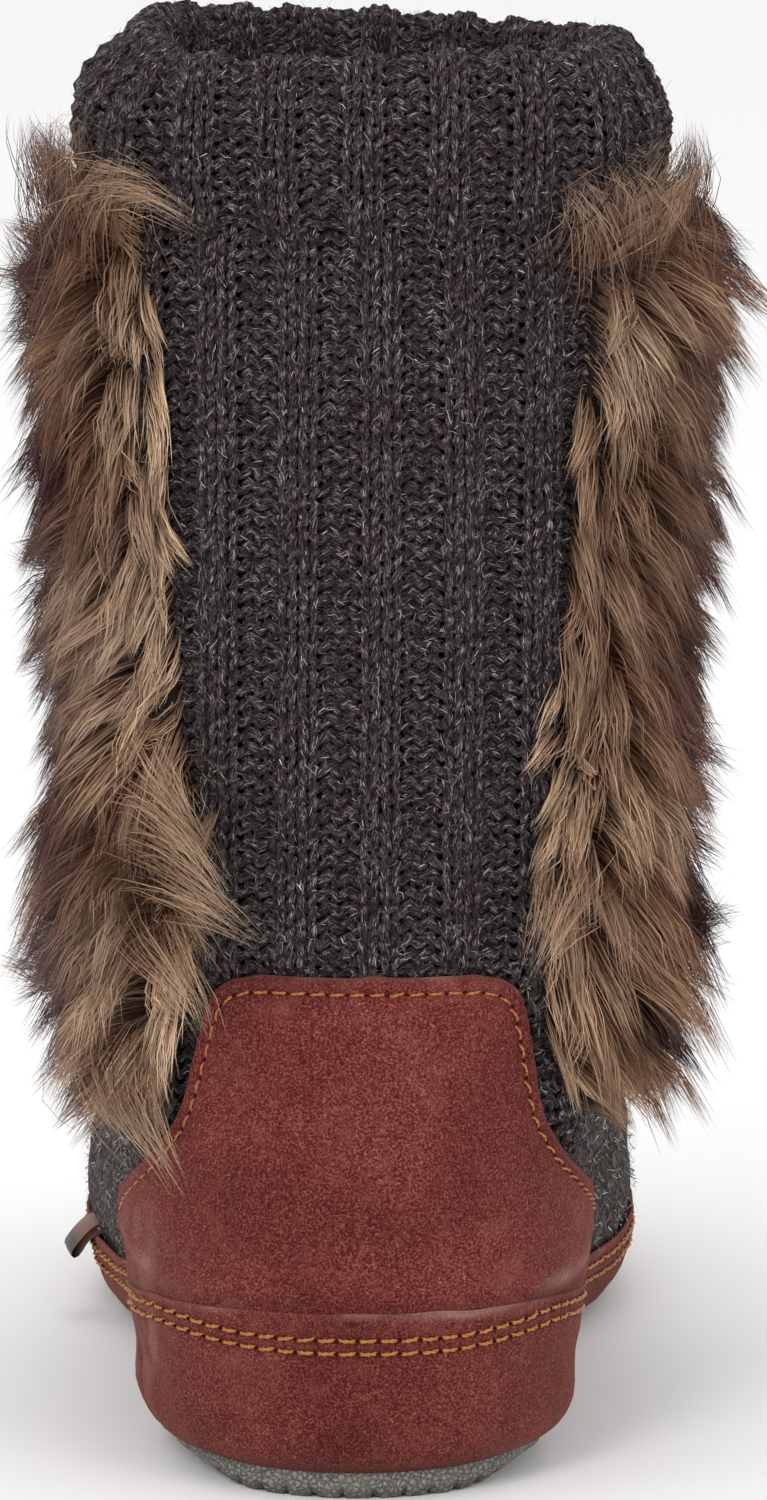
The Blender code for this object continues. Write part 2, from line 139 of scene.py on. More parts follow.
# the cuff from its hem up the outside, over the crown and down inside: out, height
CUFF = (
    ("hem_inner",   0.2, 235.0),
    ("hem",         0.9, 233.5),
    ("hem_outer",   1.9, 234.0),
    ("skirt",       2.8, 238.5),
    ("belly",       3.6, 247.0),
    ("outer_side",  3.5, 254.8),
    ("outer_top",   2.6, 260.0),
    ("crown_out",   1.1, 262.5),
    ("crown",      -0.6, 263.3),
    ("crown_in",   -2.2, 262.3),
    ("inner_top",  -3.6, 259.2),
    ("inner_side", -4.4, 253.5),
    ("inner_foot", -4.7, 246.0),
)
CUFF_LEAN = 4.0        # the roll leans in over the opening at the inner side
CUFF_LEAN_OUTER = 9.0  # and more at the outer side
CUFF_SAG = 3.0         # and its far rim stands lower


# ---- curves ----------------------------------------------------------------------------------------
def smooth(xs, ys):
    """A curve through the points that doesn't overshoot them."""
    xs, ys = np.asarray(xs, float), np.asarray(ys, float)
    h = np.diff(xs)
    d = np.diff(ys) / h
    m = np.zeros(len(xs))
    m[0], m[-1] = d[0], d[-1]
    for i in range(1, len(xs) - 1):
        if d[i - 1] * d[i] > 0:
            a, b = 2 * h[i] + h[i - 1], h[i] + 2 * h[i - 1]
            m[i] = (a + b) / (a / d[i - 1] + b / d[i])

    def at(x):
        x = np.clip(np.asarray(x, float), xs[0], xs[-1])
        i = np.clip(np.searchsorted(xs, x, side="right") - 1, 0, len(h) - 1)
        s = (x - xs[i]) / h[i]
        return (
            ys[i] * (1 + 2 * s) * (1 - s) ** 2
            + ys[i + 1] * s * s * (3 - 2 * s)
            + h[i] * (m[i] * s * (1 - s) ** 2 + m[i + 1] * s * s * (s - 1))
        )

    return at


def column(table, x, y):
    return smooth([row[x] for row in table], [row[y] for row in table])


def ramp(low, high, x):
    s = np.clip((np.asarray(x, float) - low) / (high - low), 0.0, 1.0)
    return s * s * (3 - 2 * s)


plan_width, plan_centre = column(PLAN, 1, 2), column(PLAN, 1, 3)
shaft_width = column(SHAFT, 1, 2)
section = {
    name: smooth(range(len(SECTIONS)), [row[i] for row in SECTIONS])
    for i, name in enumerate(
        ("", "back_y", "back_z", "middle_z", "front_y", "front_z", "heel", "ball", "shaft", "width", "shift")
    )
    if i
}
level_of_height = smooth([row[2] for row in SECTIONS], range(len(SECTIONS)))
counter_reach = column(COUNTER_EDGE, 1, 2)
fur_edge, fur_depth = column(FUR, 1, 2), column(FUR, 1, 3)


def spring(y):
    return SOLE_TOE_SPRING * np.maximum(0.0, (y - 214.0) / (LENGTH - 214.0)) ** 1.6


def arch(y):
    return SOLE_ARCH_RISE * ramp(78.0, 96.0, y) * (1 - ramp(120.0, 138.0, y))


def rim_lift(x, y):
    return -COLLAR_TILT * (x - MIDDLE_X) / 45.0 * np.maximum(0.0, (y - 20.0) / 90.0)


def surface(u, v):
    """The upper's outer surface: u once round from the back seam by the inner side, v up."""
    u, v = np.broadcast_arrays(np.asarray(u, float), np.asarray(v, float))
    angle = 2 * math.pi * u
    t = (1 - np.cos(angle)) / 2
    s = {name: at(v) for name, at in section.items()}
    foot = plan_width(t) * (s["heel"] + (s["ball"] - s["heel"]) * ramp(0.25, 0.65, t))
    shaft = shaft_width(t) * s["width"]
    across = foot + (shaft - foot) * s["shaft"]
    x = plan_centre(t) * (1 - s["shaft"]) + s["shift"] + across * np.sin(angle)
    y = s["back_y"] + (s["front_y"] - s["back_y"]) * t
    z = s["back_z"] + (s["middle_z"] - s["back_z"]) * ramp(0.0, 0.55, t)
    z = z + (s["front_z"] - s["middle_z"]) * ramp(0.55, 1.0, t)
    z = z + spring(y) * np.clip(1 - (z - 6.0) / 40.0, 0.0, 1.0)
    z = z + rim_lift(x, y) * ramp(180.0, COLLAR_HEIGHT, s["back_z"])
    return np.stack((x, y, z), -1)


def unit(n):
    return n / np.maximum(np.linalg.norm(n, axis=-1, keepdims=True), 1e-9)


def normal(u, v):
    e = 1e-3
    along = surface(u + e, v) - surface(u - e, v)
    up = surface(u, np.minimum(v + e, TOP)) - surface(u, np.maximum(v - e, 0.0))
    return unit(np.cross(along, up))


def outward(u, v):
    """The way that an overlay stands out: level near the sole, so its edge stays flat."""
    n = normal(u, v)
    level = unit(n * (1.0, 1.0, 0.0))
    return unit(n + (level - n) * (1 - ramp(0.0, 1.0, v))[..., None])


def offset(u, v, out, floor=None):
    u, v, out = np.broadcast_arrays(np.asarray(u, float), np.asarray(v, float), np.asarray(out, float))
    p = surface(u, v) + outward(u, v) * out[..., None]
    if floor is not None:
        p[..., 2] = np.maximum(p[..., 2], floor + spring(p[..., 1]))
    return p


ROUND = np.linspace(0.0, 1.0, 481)
rounds = {}


def round_table(v):
    """Distance round a section from the back seam, at even steps of u."""
    key = round(float(v), 2)
    if key not in rounds:
        steps = np.linalg.norm(np.diff(surface(ROUND, key), axis=0), axis=1)
        rounds[key] = np.concatenate(([0.0], np.cumsum(steps)))
    return rounds[key]


def row_us(v, distances):
    """u at distances from the back seam along one section; the outer side's are negative."""
    runs, d = round_table(v), np.asarray(distances, float)
    return np.where(d < 0, np.interp(runs[-1] + d, runs, ROUND) - 1.0, np.interp(d, runs, ROUND))


def all_us(v, distances):
    v, distances = np.broadcast_arrays(v, distances)
    flat = [float(row_us(a, b)) for a, b in zip(v.ravel(), distances.ravel())]
    return np.array(flat).reshape(v.shape)


def levels_at(u, height):
    """v at which the surface reaches each height."""
    u, height = np.broadcast_arrays(np.asarray(u, float), np.asarray(height, float))
    low, high = np.zeros(u.shape), np.full(u.shape, float(TOP))
    for _ in range(17):
        v = (low + high) / 2
        below = surface(u, v)[..., 2] < height
        low, high = np.where(below, v, low), np.where(below, high, v)
    return (low + high) / 2


# ---- noise -------------------------------------------------------------------------------------------
lattices = {}


def noise(p, size, seed):
    """Smooth noise from -1 to 1 over points in millimetres; size is one number or one for each axis."""
    if seed not in lattices:
        lattices[seed] = np.random.default_rng(seed).random((32, 32, 32)).astype(np.float32)
    table = lattices[seed]
    q = np.asarray(p, float) / size
    i = np.floor(q).astype(int)
    f = q - i
    f = f * f * (3 - 2 * f)
    out = np.zeros(q.shape[:-1])
    for dx in (0, 1):
        for dy in (0, 1):
            for dz in (0, 1):
                w = (
                    (f[..., 0] if dx else 1 - f[..., 0])
                    * (f[..., 1] if dy else 1 - f[..., 1])
                    * (f[..., 2] if dz else 1 - f[..., 2])
                )
                out += w * table[(i[..., 0] + dx) % 32, (i[..., 1] + dy) % 32, (i[..., 2] + dz) % 32]
    return out * 2 - 1


# ---- meshes -------------------------------------------------------------------------------------------
def mesh_of(name, points, faces, material, colours=None, floats=None, vectors=None):
    """A piece from points in millimetres and arrays of quads and triangles."""
    faces = [f for f in (faces if isinstance(faces, list) else [faces]) if len(f)]
    points = (np.asarray(points, float).reshape(-1, 3) - (MIDDLE_X, MIDDLE_Y, 0.0)) * MM
    used = np.zeros(len(points), bool)
    for f in faces:
        used[f.ravel()] = True
    renumber = np.cumsum(used) - 1
    points = points[used]
    faces = [renumber[f] for f in faces]
    mesh = bpy.data.meshes.new(name)
    mesh.vertices.add(len(points))
    mesh.vertices.foreach_set("co", points.astype(np.float32).ravel())
    loops = np.concatenate([f.ravel() for f in faces]).astype(np.int32)
    sizes = np.concatenate([np.full(len(f), f.shape[1]) for f in faces])
    starts = np.concatenate(([0], np.cumsum(sizes)[:-1])).astype(np.int32)
    mesh.loops.add(len(loops))
    mesh.loops.foreach_set("vertex_index", loops)
    mesh.polygons.add(len(sizes))
    mesh.polygons.foreach_set("loop_start", starts)
    mesh.polygons.foreach_set("use_smooth", np.ones(len(sizes), bool))
    mesh.update(calc_edges=True)
    if colours is not None:
        rgba = np.ones((len(used), 4), np.float32)
        rgba[:, :3] = np.asarray(colours).reshape(-1, 3)
        made = mesh.color_attributes.new("Col", "FLOAT_COLOR", "POINT")
        made.data.foreach_set("color", rgba[used].ravel())
    for key, values in (floats or {}).items():
        made = mesh.attributes.new(key, "FLOAT", "POINT")
        made.data.foreach_set("value", np.asarray(values, np.float32).ravel()[used])
    for key, values in (vectors or {}).items():
        made = mesh.attributes.new(key, "FLOAT_VECTOR", "POINT")
        made.data.foreach_set("vector", np.asarray(values, np.float32).reshape(-1, 3)[used].ravel())
    mesh.materials.append(material)
    obj = bpy.data.objects.new(name, mesh)
    bpy.context.scene.collection.objects.link(obj)
    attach(obj, "root")
    return obj


def quads(rows, width, closed_across=False, closed_up=False):
    """Quads over a grid of rows x width points, facing out where across x up faces out."""
    j = np.arange(rows if closed_up else rows - 1)
    i = np.arange(width if closed_across else width - 1)
    J, I = np.meshgrid(j, i, indexing="ij")
    J2, I2 = (J + 1) % rows, (I + 1) % width
    return np.stack((J * width + I, J * width + I2, J2 * width + I2, J2 * width + I), -1).reshape(-1, 4)


def tubes(paths, up, radius, sides, phase=0.0):
    """Points (n, m, sides, 3) round paths (n, m, 3)."""
    along = unit(np.gradient(paths, axis=1))
    across = unit(np.cross(along, up))
    over = np.cross(across, along)
    angles = 2 * math.pi * np.arange(sides) / sides + phase
    radius = np.broadcast_to(np.asarray(radius, float), paths.shape[:2])
    ring = (
        np.cos(angles)[None, None, :, None] * across[:, :, None]
        + np.sin(angles)[None, None, :, None] * over[:, :, None]
    )
    return paths[:, :, None] + radius[:, :, None, None] * ring, angles


def tube_quads(n, m, sides, keep=None):
    """Quads for tubes(); keep (n, m - 1) says which stretches are made."""
    a = np.arange(n)[:, None, None] * (m * sides)
    b = np.arange(m - 1)[None, :, None] * sides
    c = np.arange(sides)[None, None, :]
    d = (c + 1) % sides
    f = np.stack((a + b + c, a + b + sides + c, a + b + sides + d, a + b + d), -1)
    if keep is not None:
        f = f[keep]
    return f.reshape(-1, 4)


def ribbons(paths, across, widths):
    """Tapered flat strands: two edges, closed in a point at the tip. Returns points, quads, tips."""
    n, m = paths.shape[:2]
    widths = np.broadcast_to(np.asarray(widths, float), (n, m))
    side = across * widths[..., None] / 2
    points = np.zeros((n, 2 * m - 1, 3))
    points[:, 0 : 2 * m - 2 : 2] = paths[:, :-1] - side[:, :-1]
    points[:, 1 : 2 * m - 2 : 2] = paths[:, :-1] + side[:, :-1]
    points[:, -1] = paths[:, -1]
    start = np.arange(n)[:, None] * (2 * m - 1)
    k = 2 * np.arange(m - 2)[None]
    q = np.stack((start + k, start + k + 1, start + k + 3, start + k + 2), -1).reshape(-1, 4)
    e = start[:, 0] + 2 * (m - 2)
    t = np.stack((e, e + 1, start[:, 0] + 2 * m - 2), -1)
    return points, q, t


def spread(values, m):
    """A value for each path point repeated for ribbons()' points."""
    values = np.asarray(values)
    return np.concatenate((np.repeat(values[:, :-1], 2, axis=1), values[:, -1:]), axis=1)


def srgb(*rgb):
    c = np.asarray(rgb, float) / 255.0
    return np.where(c <= 0.04045, c / 12.92, ((c + 0.055) / 1.055) ** 2.4)


class Field:
    """Points and normals on an even grid of two parameters, read between its nodes."""

    def __init__(self, a, b, points, normals):
        self.a0, self.da, self.na = a[0], a[1] - a[0], len(a)
        self.b0, self.db, self.nb = b[0], b[1] - b[0], len(b)
        self.both = np.concatenate((points, normals), -1)

    def at(self, a, b):
        a, b = np.broadcast_arrays(np.asarray(a, float), np.asarray(b, float))
        i = np.clip((a - self.a0) / self.da, 0, self.na - 1.0001)
        j = np.clip((b - self.b0) / self.db, 0, self.nb - 1.0001)
        i0, j0 = i.astype(int), j.astype(int)
        fi, fj = (i - i0)[..., None], (j - j0)[..., None]
        g = self.both
        out = (g[j0, i0] * (1 - fi) + g[j0, i0 + 1] * fi) * (1 - fj) + (
            g[j0 + 1, i0] * (1 - fi) + g[j0 + 1, i0 + 1] * fi
        ) * fj
        return out[..., :3], unit(out[..., 3:6])


# ---- materials ------------------------------------------------------------------------------------------
class Paint:
    """A Principled material and short ways to add nodes to it."""

    def __init__(self, name, roughness, specular=0.4):
        self.made = bpy.data.materials.new(name)
        self.made.use_nodes = True
        self.tree = self.made.node_tree
        self.shader = self.tree.nodes["Principled BSDF"]
        self.shader.inputs["Roughness"].default_value = roughness
        self.shader.inputs["Specular IOR Level"].default_value = specular
        self.where = self.tree.nodes.new("ShaderNodeTexCoord").outputs["Object"]

    def link(self, a, b):
        self.tree.links.new(a, b)

    def set(self, socket, value):
        if hasattr(value, "is_output"):
            self.link(value, socket)
        else:
            socket.default_value = value

    def noise(self, size_mm, detail=2.0, rough=0.5, vector=None, distortion=0.0):
        n = self.tree.nodes.new("ShaderNodeTexNoise")
        n.inputs["Scale"].default_value = 1000.0 / size_mm
        n.inputs["Detail"].default_value = detail
        n.inputs["Roughness"].default_value = rough
        n.inputs["Distortion"].default_value = distortion
        self.link(vector or self.where, n.inputs["Vector"])
        return n.outputs["Fac"]

    def cells(self, size_mm, feature="F1", vector=None):
        n = self.tree.nodes.new("ShaderNodeTexVoronoi")
        n.feature = feature
        n.inputs["Scale"].default_value = 1000.0 / size_mm
        self.link(vector or self.where, n.inputs["Vector"])
        return n.outputs["Distance"]

    def scaled(self, vector, x, y, z):
        n = self.tree.nodes.new("ShaderNodeMapping")
        n.inputs["Scale"].default_value = (x, y, z)
        self.link(vector, n.inputs["Vector"])
        return n.outputs["Vector"]

    def attribute(self, name, output):
        n = self.tree.nodes.new("ShaderNodeAttribute")
        n.attribute_name = name
        return n.outputs[output]

    def ramp(self, factor, *stops):
        n = self.tree.nodes.new("ShaderNodeValToRGB")
        ramp_ = n.color_ramp
        while len(ramp_.elements) < len(stops):
            ramp_.elements.new(0.5)
        for element, (place, colour) in zip(ramp_.elements, stops):
            element.position = place
            element.color = (*colour, 1.0) if hasattr(colour, "__len__") else (colour,) * 3 + (1.0,)
        self.link(factor, n.inputs["Fac"])
        return n.outputs["Color"]

    def mix(self, factor, a, b, kind="MIX"):
        n = self.tree.nodes.new("ShaderNodeMix")
        n.data_type = "RGBA"
        n.blend_type = kind
        self.set(n.inputs[0], factor)
        for socket, value in ((n.inputs[6], a), (n.inputs[7], b)):
            self.set(socket, value if hasattr(value, "is_output") else (*value, 1.0))
        return n.outputs[2]

    def maths(self, kind, a, b=0.0, clamp=False):
        n = self.tree.nodes.new("ShaderNodeMath")
        n.operation = kind
        n.use_clamp = clamp
        self.set(n.inputs[0], a)
        self.set(n.inputs[1], b)
        return n.outputs[0]

    def colour(self, value):
        self.set(self.shader.inputs["Base Color"], value)

    def bump(self, height, distance_mm, strength=1.0, before=None):
        n = self.tree.nodes.new("ShaderNodeBump")
        n.inputs["Strength"].default_value = strength
        n.inputs["Distance"].default_value = distance_mm * MM
        self.link(height, n.inputs["Height"])
        if before is not None:
            self.link(before, n.inputs["Normal"])
        self.link(n.outputs["Normal"], self.shader.inputs["Normal"])
        return n.outputs["Normal"]

    def sheen(self, weight, roughness, tint):
        self.shader.inputs["Sheen Weight"].default_value = weight
        self.shader.inputs["Sheen Roughness"].default_value = roughness
        self.shader.inputs["Sheen Tint"].default_value = (*tint, 1.0)


def suede_paint(name):
    p = Paint(name, 0.95, 0.12)
    speck = p.noise(0.42, 3.0, 0.75)
    spark = p.noise(0.62, 2.0, 0.6)
    nap = p.noise(1.9, 4.0, 0.65)
    smudge = p.noise(8.0, 3.0, 0.6, None, 1.2)
    cloud = p.noise(24.0, 2.0, 0.5)
    fine = p.ramp(speck, (0.37, srgb(44, 5, 5)), (0.50, srgb(97, 34, 31)), (0.62, srgb(160, 92, 83)))
    mid = p.ramp(nap, (0.30, srgb(76, 24, 22)), (0.55, srgb(98, 35, 31)), (0.80, srgb(120, 52, 46)))
    colour = p.mix(0.34, fine, mid)
    colour = p.mix(p.ramp(spark, (0.60, 0.0), (0.72, 0.45)), colour, srgb(180, 122, 110))
    colour = p.mix(p.ramp(smudge, (0.52, 0.0), (0.72, 0.42)), colour, srgb(136, 76, 69))
    colour = p.mix(p.ramp(cloud, (0.36, 1.0), (0.60, 0.0)), colour, p.mix(1.0, colour, (0.78, 0.72, 0.72), "MULTIPLY"))
    colour = p.mix(p.attribute("edge", "Fac"), colour, p.mix(0.45, srgb(128, 82, 73), fine))
    colour = p.mix(p.attribute("scuff", "Fac"), colour, p.mix(0.35, srgb(172, 144, 134), fine))
    # darker where the pieces say so: real dirt in patches, and painted shade at the stitch holes, under the band's lip
    # and along the band's turned-under foot
    colour = p.mix(p.attribute("dirt_and_shade", "Fac"), colour, p.mix(1.0, colour, (0.42, 0.36, 0.36), "MULTIPLY"))
    p.colour(colour)
    p.sheen(0.16, 0.55, srgb(235, 170, 160))
    p.bump(nap, 0.34, 0.6, p.bump(speck, 0.26, 1.0))
    return p.made


def rubber_paint():
    p = Paint("rubber_look", 0.7, 0.3)
    pebble = p.cells(1.15, "DISTANCE_TO_EDGE")
    grain = p.noise(0.5, 3.0, 0.6)
    patch = p.noise(11.0, 3.0, 0.6)
    colour = p.mix(p.ramp(grain, (0.34, 0.0), (0.66, 1.0)), srgb(92, 90, 86), srgb(158, 154, 146))
    # painted shade in the cracks between the pebbles
    colour = p.mix(p.ramp(pebble, (0.0, 0.75), (0.18, 0.0)), colour, srgb(50, 49, 47))
    colour = p.mix(p.ramp(patch, (0.40, 0.0), (0.75, 0.55)), colour, srgb(118, 113, 103))
    # darker low on the sole's wall, and painted shade in its notches and grooves
    colour = p.mix(p.attribute("dirt_and_shade", "Fac"), colour, srgb(52, 49, 45))
    p.colour(colour)
    p.bump(grain, 0.10, 0.6, p.bump(p.ramp(pebble, (0.0, 0.0), (0.22, 1.0)), 0.30, 0.8))
    return p.made


def yarn_paint(name, dark, mid, light):
    """Heathered yarn: fibres run along it, and it is twisted from plies."""
    p = Paint(name, 0.9, 0.12)
    yarn = p.attribute("yarn", "Vector")          # along in mm, cosine and sine round it
    split = p.tree.nodes.new("ShaderNodeSeparateXYZ")
    p.link(yarn, split.inputs[0])
    turn = p.maths("MULTIPLY", split.outputs[0], 2 * math.pi / 3.4)
    ply = p.maths(
        "SUBTRACT",
        p.maths("MULTIPLY", p.maths("COSINE", turn), split.outputs[1]),
        p.maths("MULTIPLY", p.maths("SINE", turn), split.outputs[2]),
    )
    streak = p.noise(1000.0, 3.0, 0.8, p.scaled(yarn, 0.95, 2.7, 2.7))
    fleck = p.noise(1000.0, 2.0, 0.5, p.scaled(yarn, 0.70, 3.6, 3.6))
    cloud = p.noise(7.0, 2.0, 0.5)
    fine = p.noise(0.34, 2.0, 0.6)
    colour = p.ramp(streak, (0.36, dark), (0.50, mid), (0.66, light))
    colour = p.mix(p.ramp(fine, (0.55, 0.0), (0.78, 0.6)), colour, light)
    colour = p.mix(p.ramp(fleck, (0.60, 0.0), (0.68, 0.9)), colour, srgb(164, 156, 154))
    colour = p.mix(p.ramp(cloud, (0.38, 0.6), (0.60, 0.0)), colour, p.mix(1.0, colour, srgb(240, 196, 206), "MULTIPLY"))
    # painted shade in the groove that winds between the plies
    colour = p.mix(p.ramp(ply, (0.10, 0.55), (0.55, 0.0)), colour, dark)
    p.colour(colour)
    p.sheen(0.06, 0.5, srgb(210, 205, 205))
    p.bump(fine, 0.12, 0.8, p.bump(streak, 0.26, 0.9))
    return p.made


def felt_paint(name, dark, mid, light):
    p = Paint(name, 0.95, 0.1)
    fine = p.noise(1.1, 4.0, 0.75)
    hair = p.noise(2.0, 4.0, 0.75, None, 2.6)
    cloud = p.noise(9.0, 2.0, 0.5)
    colour = p.ramp(fine, (0.36, dark), (0.50, mid), (0.68, light))
    colour = p.mix(p.ramp(hair, (0.52, 0.0), (0.62, 0.75)), colour, light)
    colour = p.mix(p.ramp(cloud, (0.30, 0.35), (0.66, 0.0)), colour, dark)
    p.colour(colour)
    p.sheen(0.07, 0.5, srgb(200, 196, 198))
    p.bump(hair, 0.35, 0.7, p.bump(fine, 0.2, 0.8))
    return p.made


def hair_paint(name, roughness, specular):
    p = Paint(name, roughness, specular)
    p.colour(p.attribute("Col", "Color"))
    return p.made


def thread_paint(name, dark, light, roughness=0.42, specular=0.5):
    p = Paint(name, roughness, specular)
    p.colour(p.mix(p.noise(0.5, 2.0, 0.5), dark, light))
    return p.made


suede = suede_paint("suede_look")
rubber = rubber_paint()
knit = yarn_paint("knit_look", srgb(5, 3, 4), srgb(38, 31, 33), srgb(122, 114, 115))
lining = felt_paint("lining_look", srgb(10, 8, 9), srgb(30, 25, 27), srgb(66, 60, 61))
shade_backing = felt_paint("shade_backing_look", srgb(5, 4, 4), srgb(12, 10, 10), srgb(24, 21, 21))
felt = felt_paint("felt_look", srgb(5, 2, 3), srgb(26, 18, 20), srgb(120, 106, 103))
fuzz = hair_paint("fuzz_look", 0.8, 0.1)
fur_look = hair_paint("fur_look", 0.55, 0.28)
band_thread = thread_paint("band_thread_look", srgb(112, 56, 22), srgb(206, 140, 66))
counter_thread = thread_paint("counter_thread_look", srgb(118, 58, 28), srgb(204, 132, 70))
# painted shade for the needle holes
hole_shade = thread_paint("needle_hole_shade_look", srgb(38, 11, 9), srgb(58, 19, 16), 0.95, 0.03)

# ---- the sole --------------------------------------------------------------------------------------------
GROOVE_RUNS = (
    ("heel_back",   14.0,  34.0, 10.0),
    ("heel_front",  50.0,  70.0, 10.0),
    ("waist",       84.0, 132.0, 12.0),
    ("ball_back",  142.0, 162.0, 10.0),
    ("ball_front", 180.0, 210.0, 10.0),
    ("toes",       221.0, 254.0, 11.0),
)
NOTCH_PITCH, NOTCH_HEIGHT = 5.6, 0.55


def sole_half(t):
    scale = SOLE_HEEL_SCALE + (SOLE_BALL_SCALE - SOLE_HEEL_SCALE) * ramp(0.25, 0.65, t)
    return plan_width(t) * scale * 2 * np.sqrt(np.clip(t * (1 - t), 0, 1)), plan_centre(t)


def groove(y):
    """Depth cut in the tread at a distance from the heel."""
    cut = np.zeros(np.shape(y))
    for _, first, last, pitch in GROOVE_RUNS:
        for i in range(int(round((last - first) / pitch)) + 1):
            a = first + i * pitch
            cut = np.maximum(cut, GROOVE_DEPTH * ramp(a, a + 0.5, y) * (1 - ramp(a + GROOVE_WIDTH - 0.5, a + GROOVE_WIDTH, y)))
    return cut


def make_sole():
    columns = 480
    theta = 2 * math.pi * (np.arange(columns) + 0.5) / columns
    t = (1 - np.cos(theta)) / 2
    half, centre = sole_half(t)
    x = centre + half * np.sign(np.sin(theta))
    y = SOLE_INSET + (LENGTH - 2 * SOLE_INSET) * t
    edge = np.stack((x, y), -1)
    along = np.roll(edge, -1, 0) - np.roll(edge, 1, 0)
    step = np.linalg.norm(np.roll(edge, -1, 0) - edge, axis=1)
    run = np.concatenate(([0.0], np.cumsum(step)[:-1]))
    count = round(step.sum() / NOTCH_PITCH)
    n = np.stack((along[:, 1], -along[:, 0]), -1)
    n /= np.linalg.norm(n, axis=1, keepdims=True)
    phase = (run / step.sum() * count + 0.15 * np.sin(run / 31.0)) % 1.0
    notch = 1 - ramp(0.06, 0.15, np.abs(phase - 0.5))
    # out, height (0 bottom .. 1 top), notch, and how far it rounds in and up at the corners
    profile = (
        ("mid_top",    -6.0,  1.000, 0.0, 0.0, 0.0),
        ("top",        -0.9,  1.000, 0.0, 0.0, 0.0),
        ("top_round",  -0.3,  0.965, 0.0, 0.0, 0.0),
        ("lip",         0.05, 0.900, 0.0, 0.1, 0.0),
        ("wall_high",   0.25, 0.760, 0.0, 0.4, 0.1),
        ("wall",        0.40, 0.560, 0.1, 1.0, 0.4),
        ("wall_low",    0.35, 0.380, 0.4, 1.8, 0.9),
        ("foot",        0.15, 0.240, 0.7, 2.7, 1.3),
        ("foot_low",   -0.05, 0.130, 1.0, 3.6, 1.5),
        ("round",      -0.50, 0.040, 1.0, 4.6, 1.5),
        ("ground",     -1.10, 0.000, 1.0, 5.4, 1.2),
        ("in_one",     -2.60, 0.000, 0.8, 5.8, 0.6),
        ("in_two",     -4.20, 0.000, 0.0, 6.6, 0.0),
    )
    corner = ramp(9.0, 30.0, y) * (1 - ramp(LENGTH - 24.0, LENGTH - 8.0, y))
    covered = ramp(36.0, 62.0, y) * (1 - ramp(LENGTH - 30.0, LENGTH - 14.0, y))
    rows, dirt_and_shade = [], []
    for _, out, high, cut, tuck, up in profile:
        ring = edge + n * (out - 0.40 * cut * notch - tuck * corner * (1 - 0.6 * covered) - 4.6 * covered)[:, None]
        floor = spring(ring[:, 1]) + arch(ring[:, 1])
        top = SOLE_THICKNESS + spring(ring[:, 1])
        z = floor + (top - floor) * high + cut * notch * NOTCH_HEIGHT * (1 - high) + up * corner * (1 - covered)
        if high == 0.0:
            z = z + groove(ring[:, 1]) * min(1.0, max(0.0, (-out - 1.0) / 1.5))
        z = z + 0.10 * noise(np.column_stack((ring, z)), 5.0, 71) * (0 < high < 1)
        rows.append(np.column_stack((ring, z)))
        # darker low on the wall, and painted shade in the notches
        dirt_and_shade.append(np.full(columns, 0.35 if high < 0.3 else 0.0) + 0.5 * cut * notch)
    last = rows[-1][:, :2]
    for share in np.linspace(0.0, 1.0, 20)[1:]:
        spine_y = np.clip(y, 46.0, 224.0)
        spine_x = plan_centre((spine_y - SOLE_INSET) / (LENGTH - 2 * SOLE_INSET))
        ring = last + (np.stack((spine_x, spine_y), -1) - last) * min(share, 0.985)
        z = spring(ring[:, 1]) + arch(ring[:, 1]) + groove(ring[:, 1])
        rows.append(np.column_stack((ring, z)))
        # darker underneath, and painted shade in the grooves
        dirt_and_shade.append(np.full(columns, 0.25) + 0.4 * (groove(ring[:, 1]) > 0.5))
    rows, dirt_and_shade = np.array(rows)[::-1], np.array(dirt_and_shade)[::-1]
    faces = [quads(len(rows), columns, True)]
    base = (len(rows) - 1) * columns
    index = np.arange(columns // 2 - 1)
    for start, flip in ((0, True), (base, False)):
        a = np.stack((start + index, start + index + 1, start + columns - 2 - index, start + columns - 1 - index), -1)
        faces.append(a[:, ::-1] if flip else a)
    made = mesh_of("sole", rows, faces, rubber, floats={"dirt_and_shade": dirt_and_shade})
    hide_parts("outsole")


make_sole()

# ---- the footbed ----------------------------------------------------------------------------------------
def make_footbed():
    columns = 200
    u = (np.arange(columns) + 0.5) / columns
    rows = []
    for height, inward in ((0.35, 0.0), (1.5, 0.0), (3.0, 0.1), (3.6, 0.4), (3.8, 1.0), (3.85, 3.0)):
        rim = offset(u, 0.0, -WALL - GAP - inward)
        rim[:, 2] = SOLE_THICKNESS + height + spring(rim[:, 1])
        rows.append(rim)
    edge = rows[-1]
    for share in np.linspace(0.0, 1.0, 14)[1:]:
        y = np.clip(edge[:, 1], 48.0, 222.0)
        spine = np.stack((plan_centre(y / LENGTH), y), -1)
        p = edge.copy()
        p[:, :2] += (spine - edge[:, :2]) * min(share, 0.98)
        p[:, 2] = SOLE_THICKNESS + 3.85 + spring(p[:, 1]) - 0.5 * share + 0.25 * noise(p, 16.0, 5)
        rows.append(p)
    rows = np.array(rows)
    faces = [quads(len(rows), columns, True)]
    index = np.arange(columns // 2 - 1)
    for start, flip in ((0, True), ((len(rows) - 1) * columns, False)):
        a = np.stack((start + index, start + index + 1, start + columns - 2 - index, start + columns - 1 - index), -1)
        faces.append(a[:, ::-1] if flip else a)
    made = mesh_of("footbed", rows, faces, felt)
    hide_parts("insole")


make_footbed()

# ---- the wall: felt foot outside, knit lining inside -------------------------------------------------------
RIB = 14.72            # one rib repeat, two knit wales and two purl
RIB_PHASE = 1.8        # a knit pair's middle, from the back seam


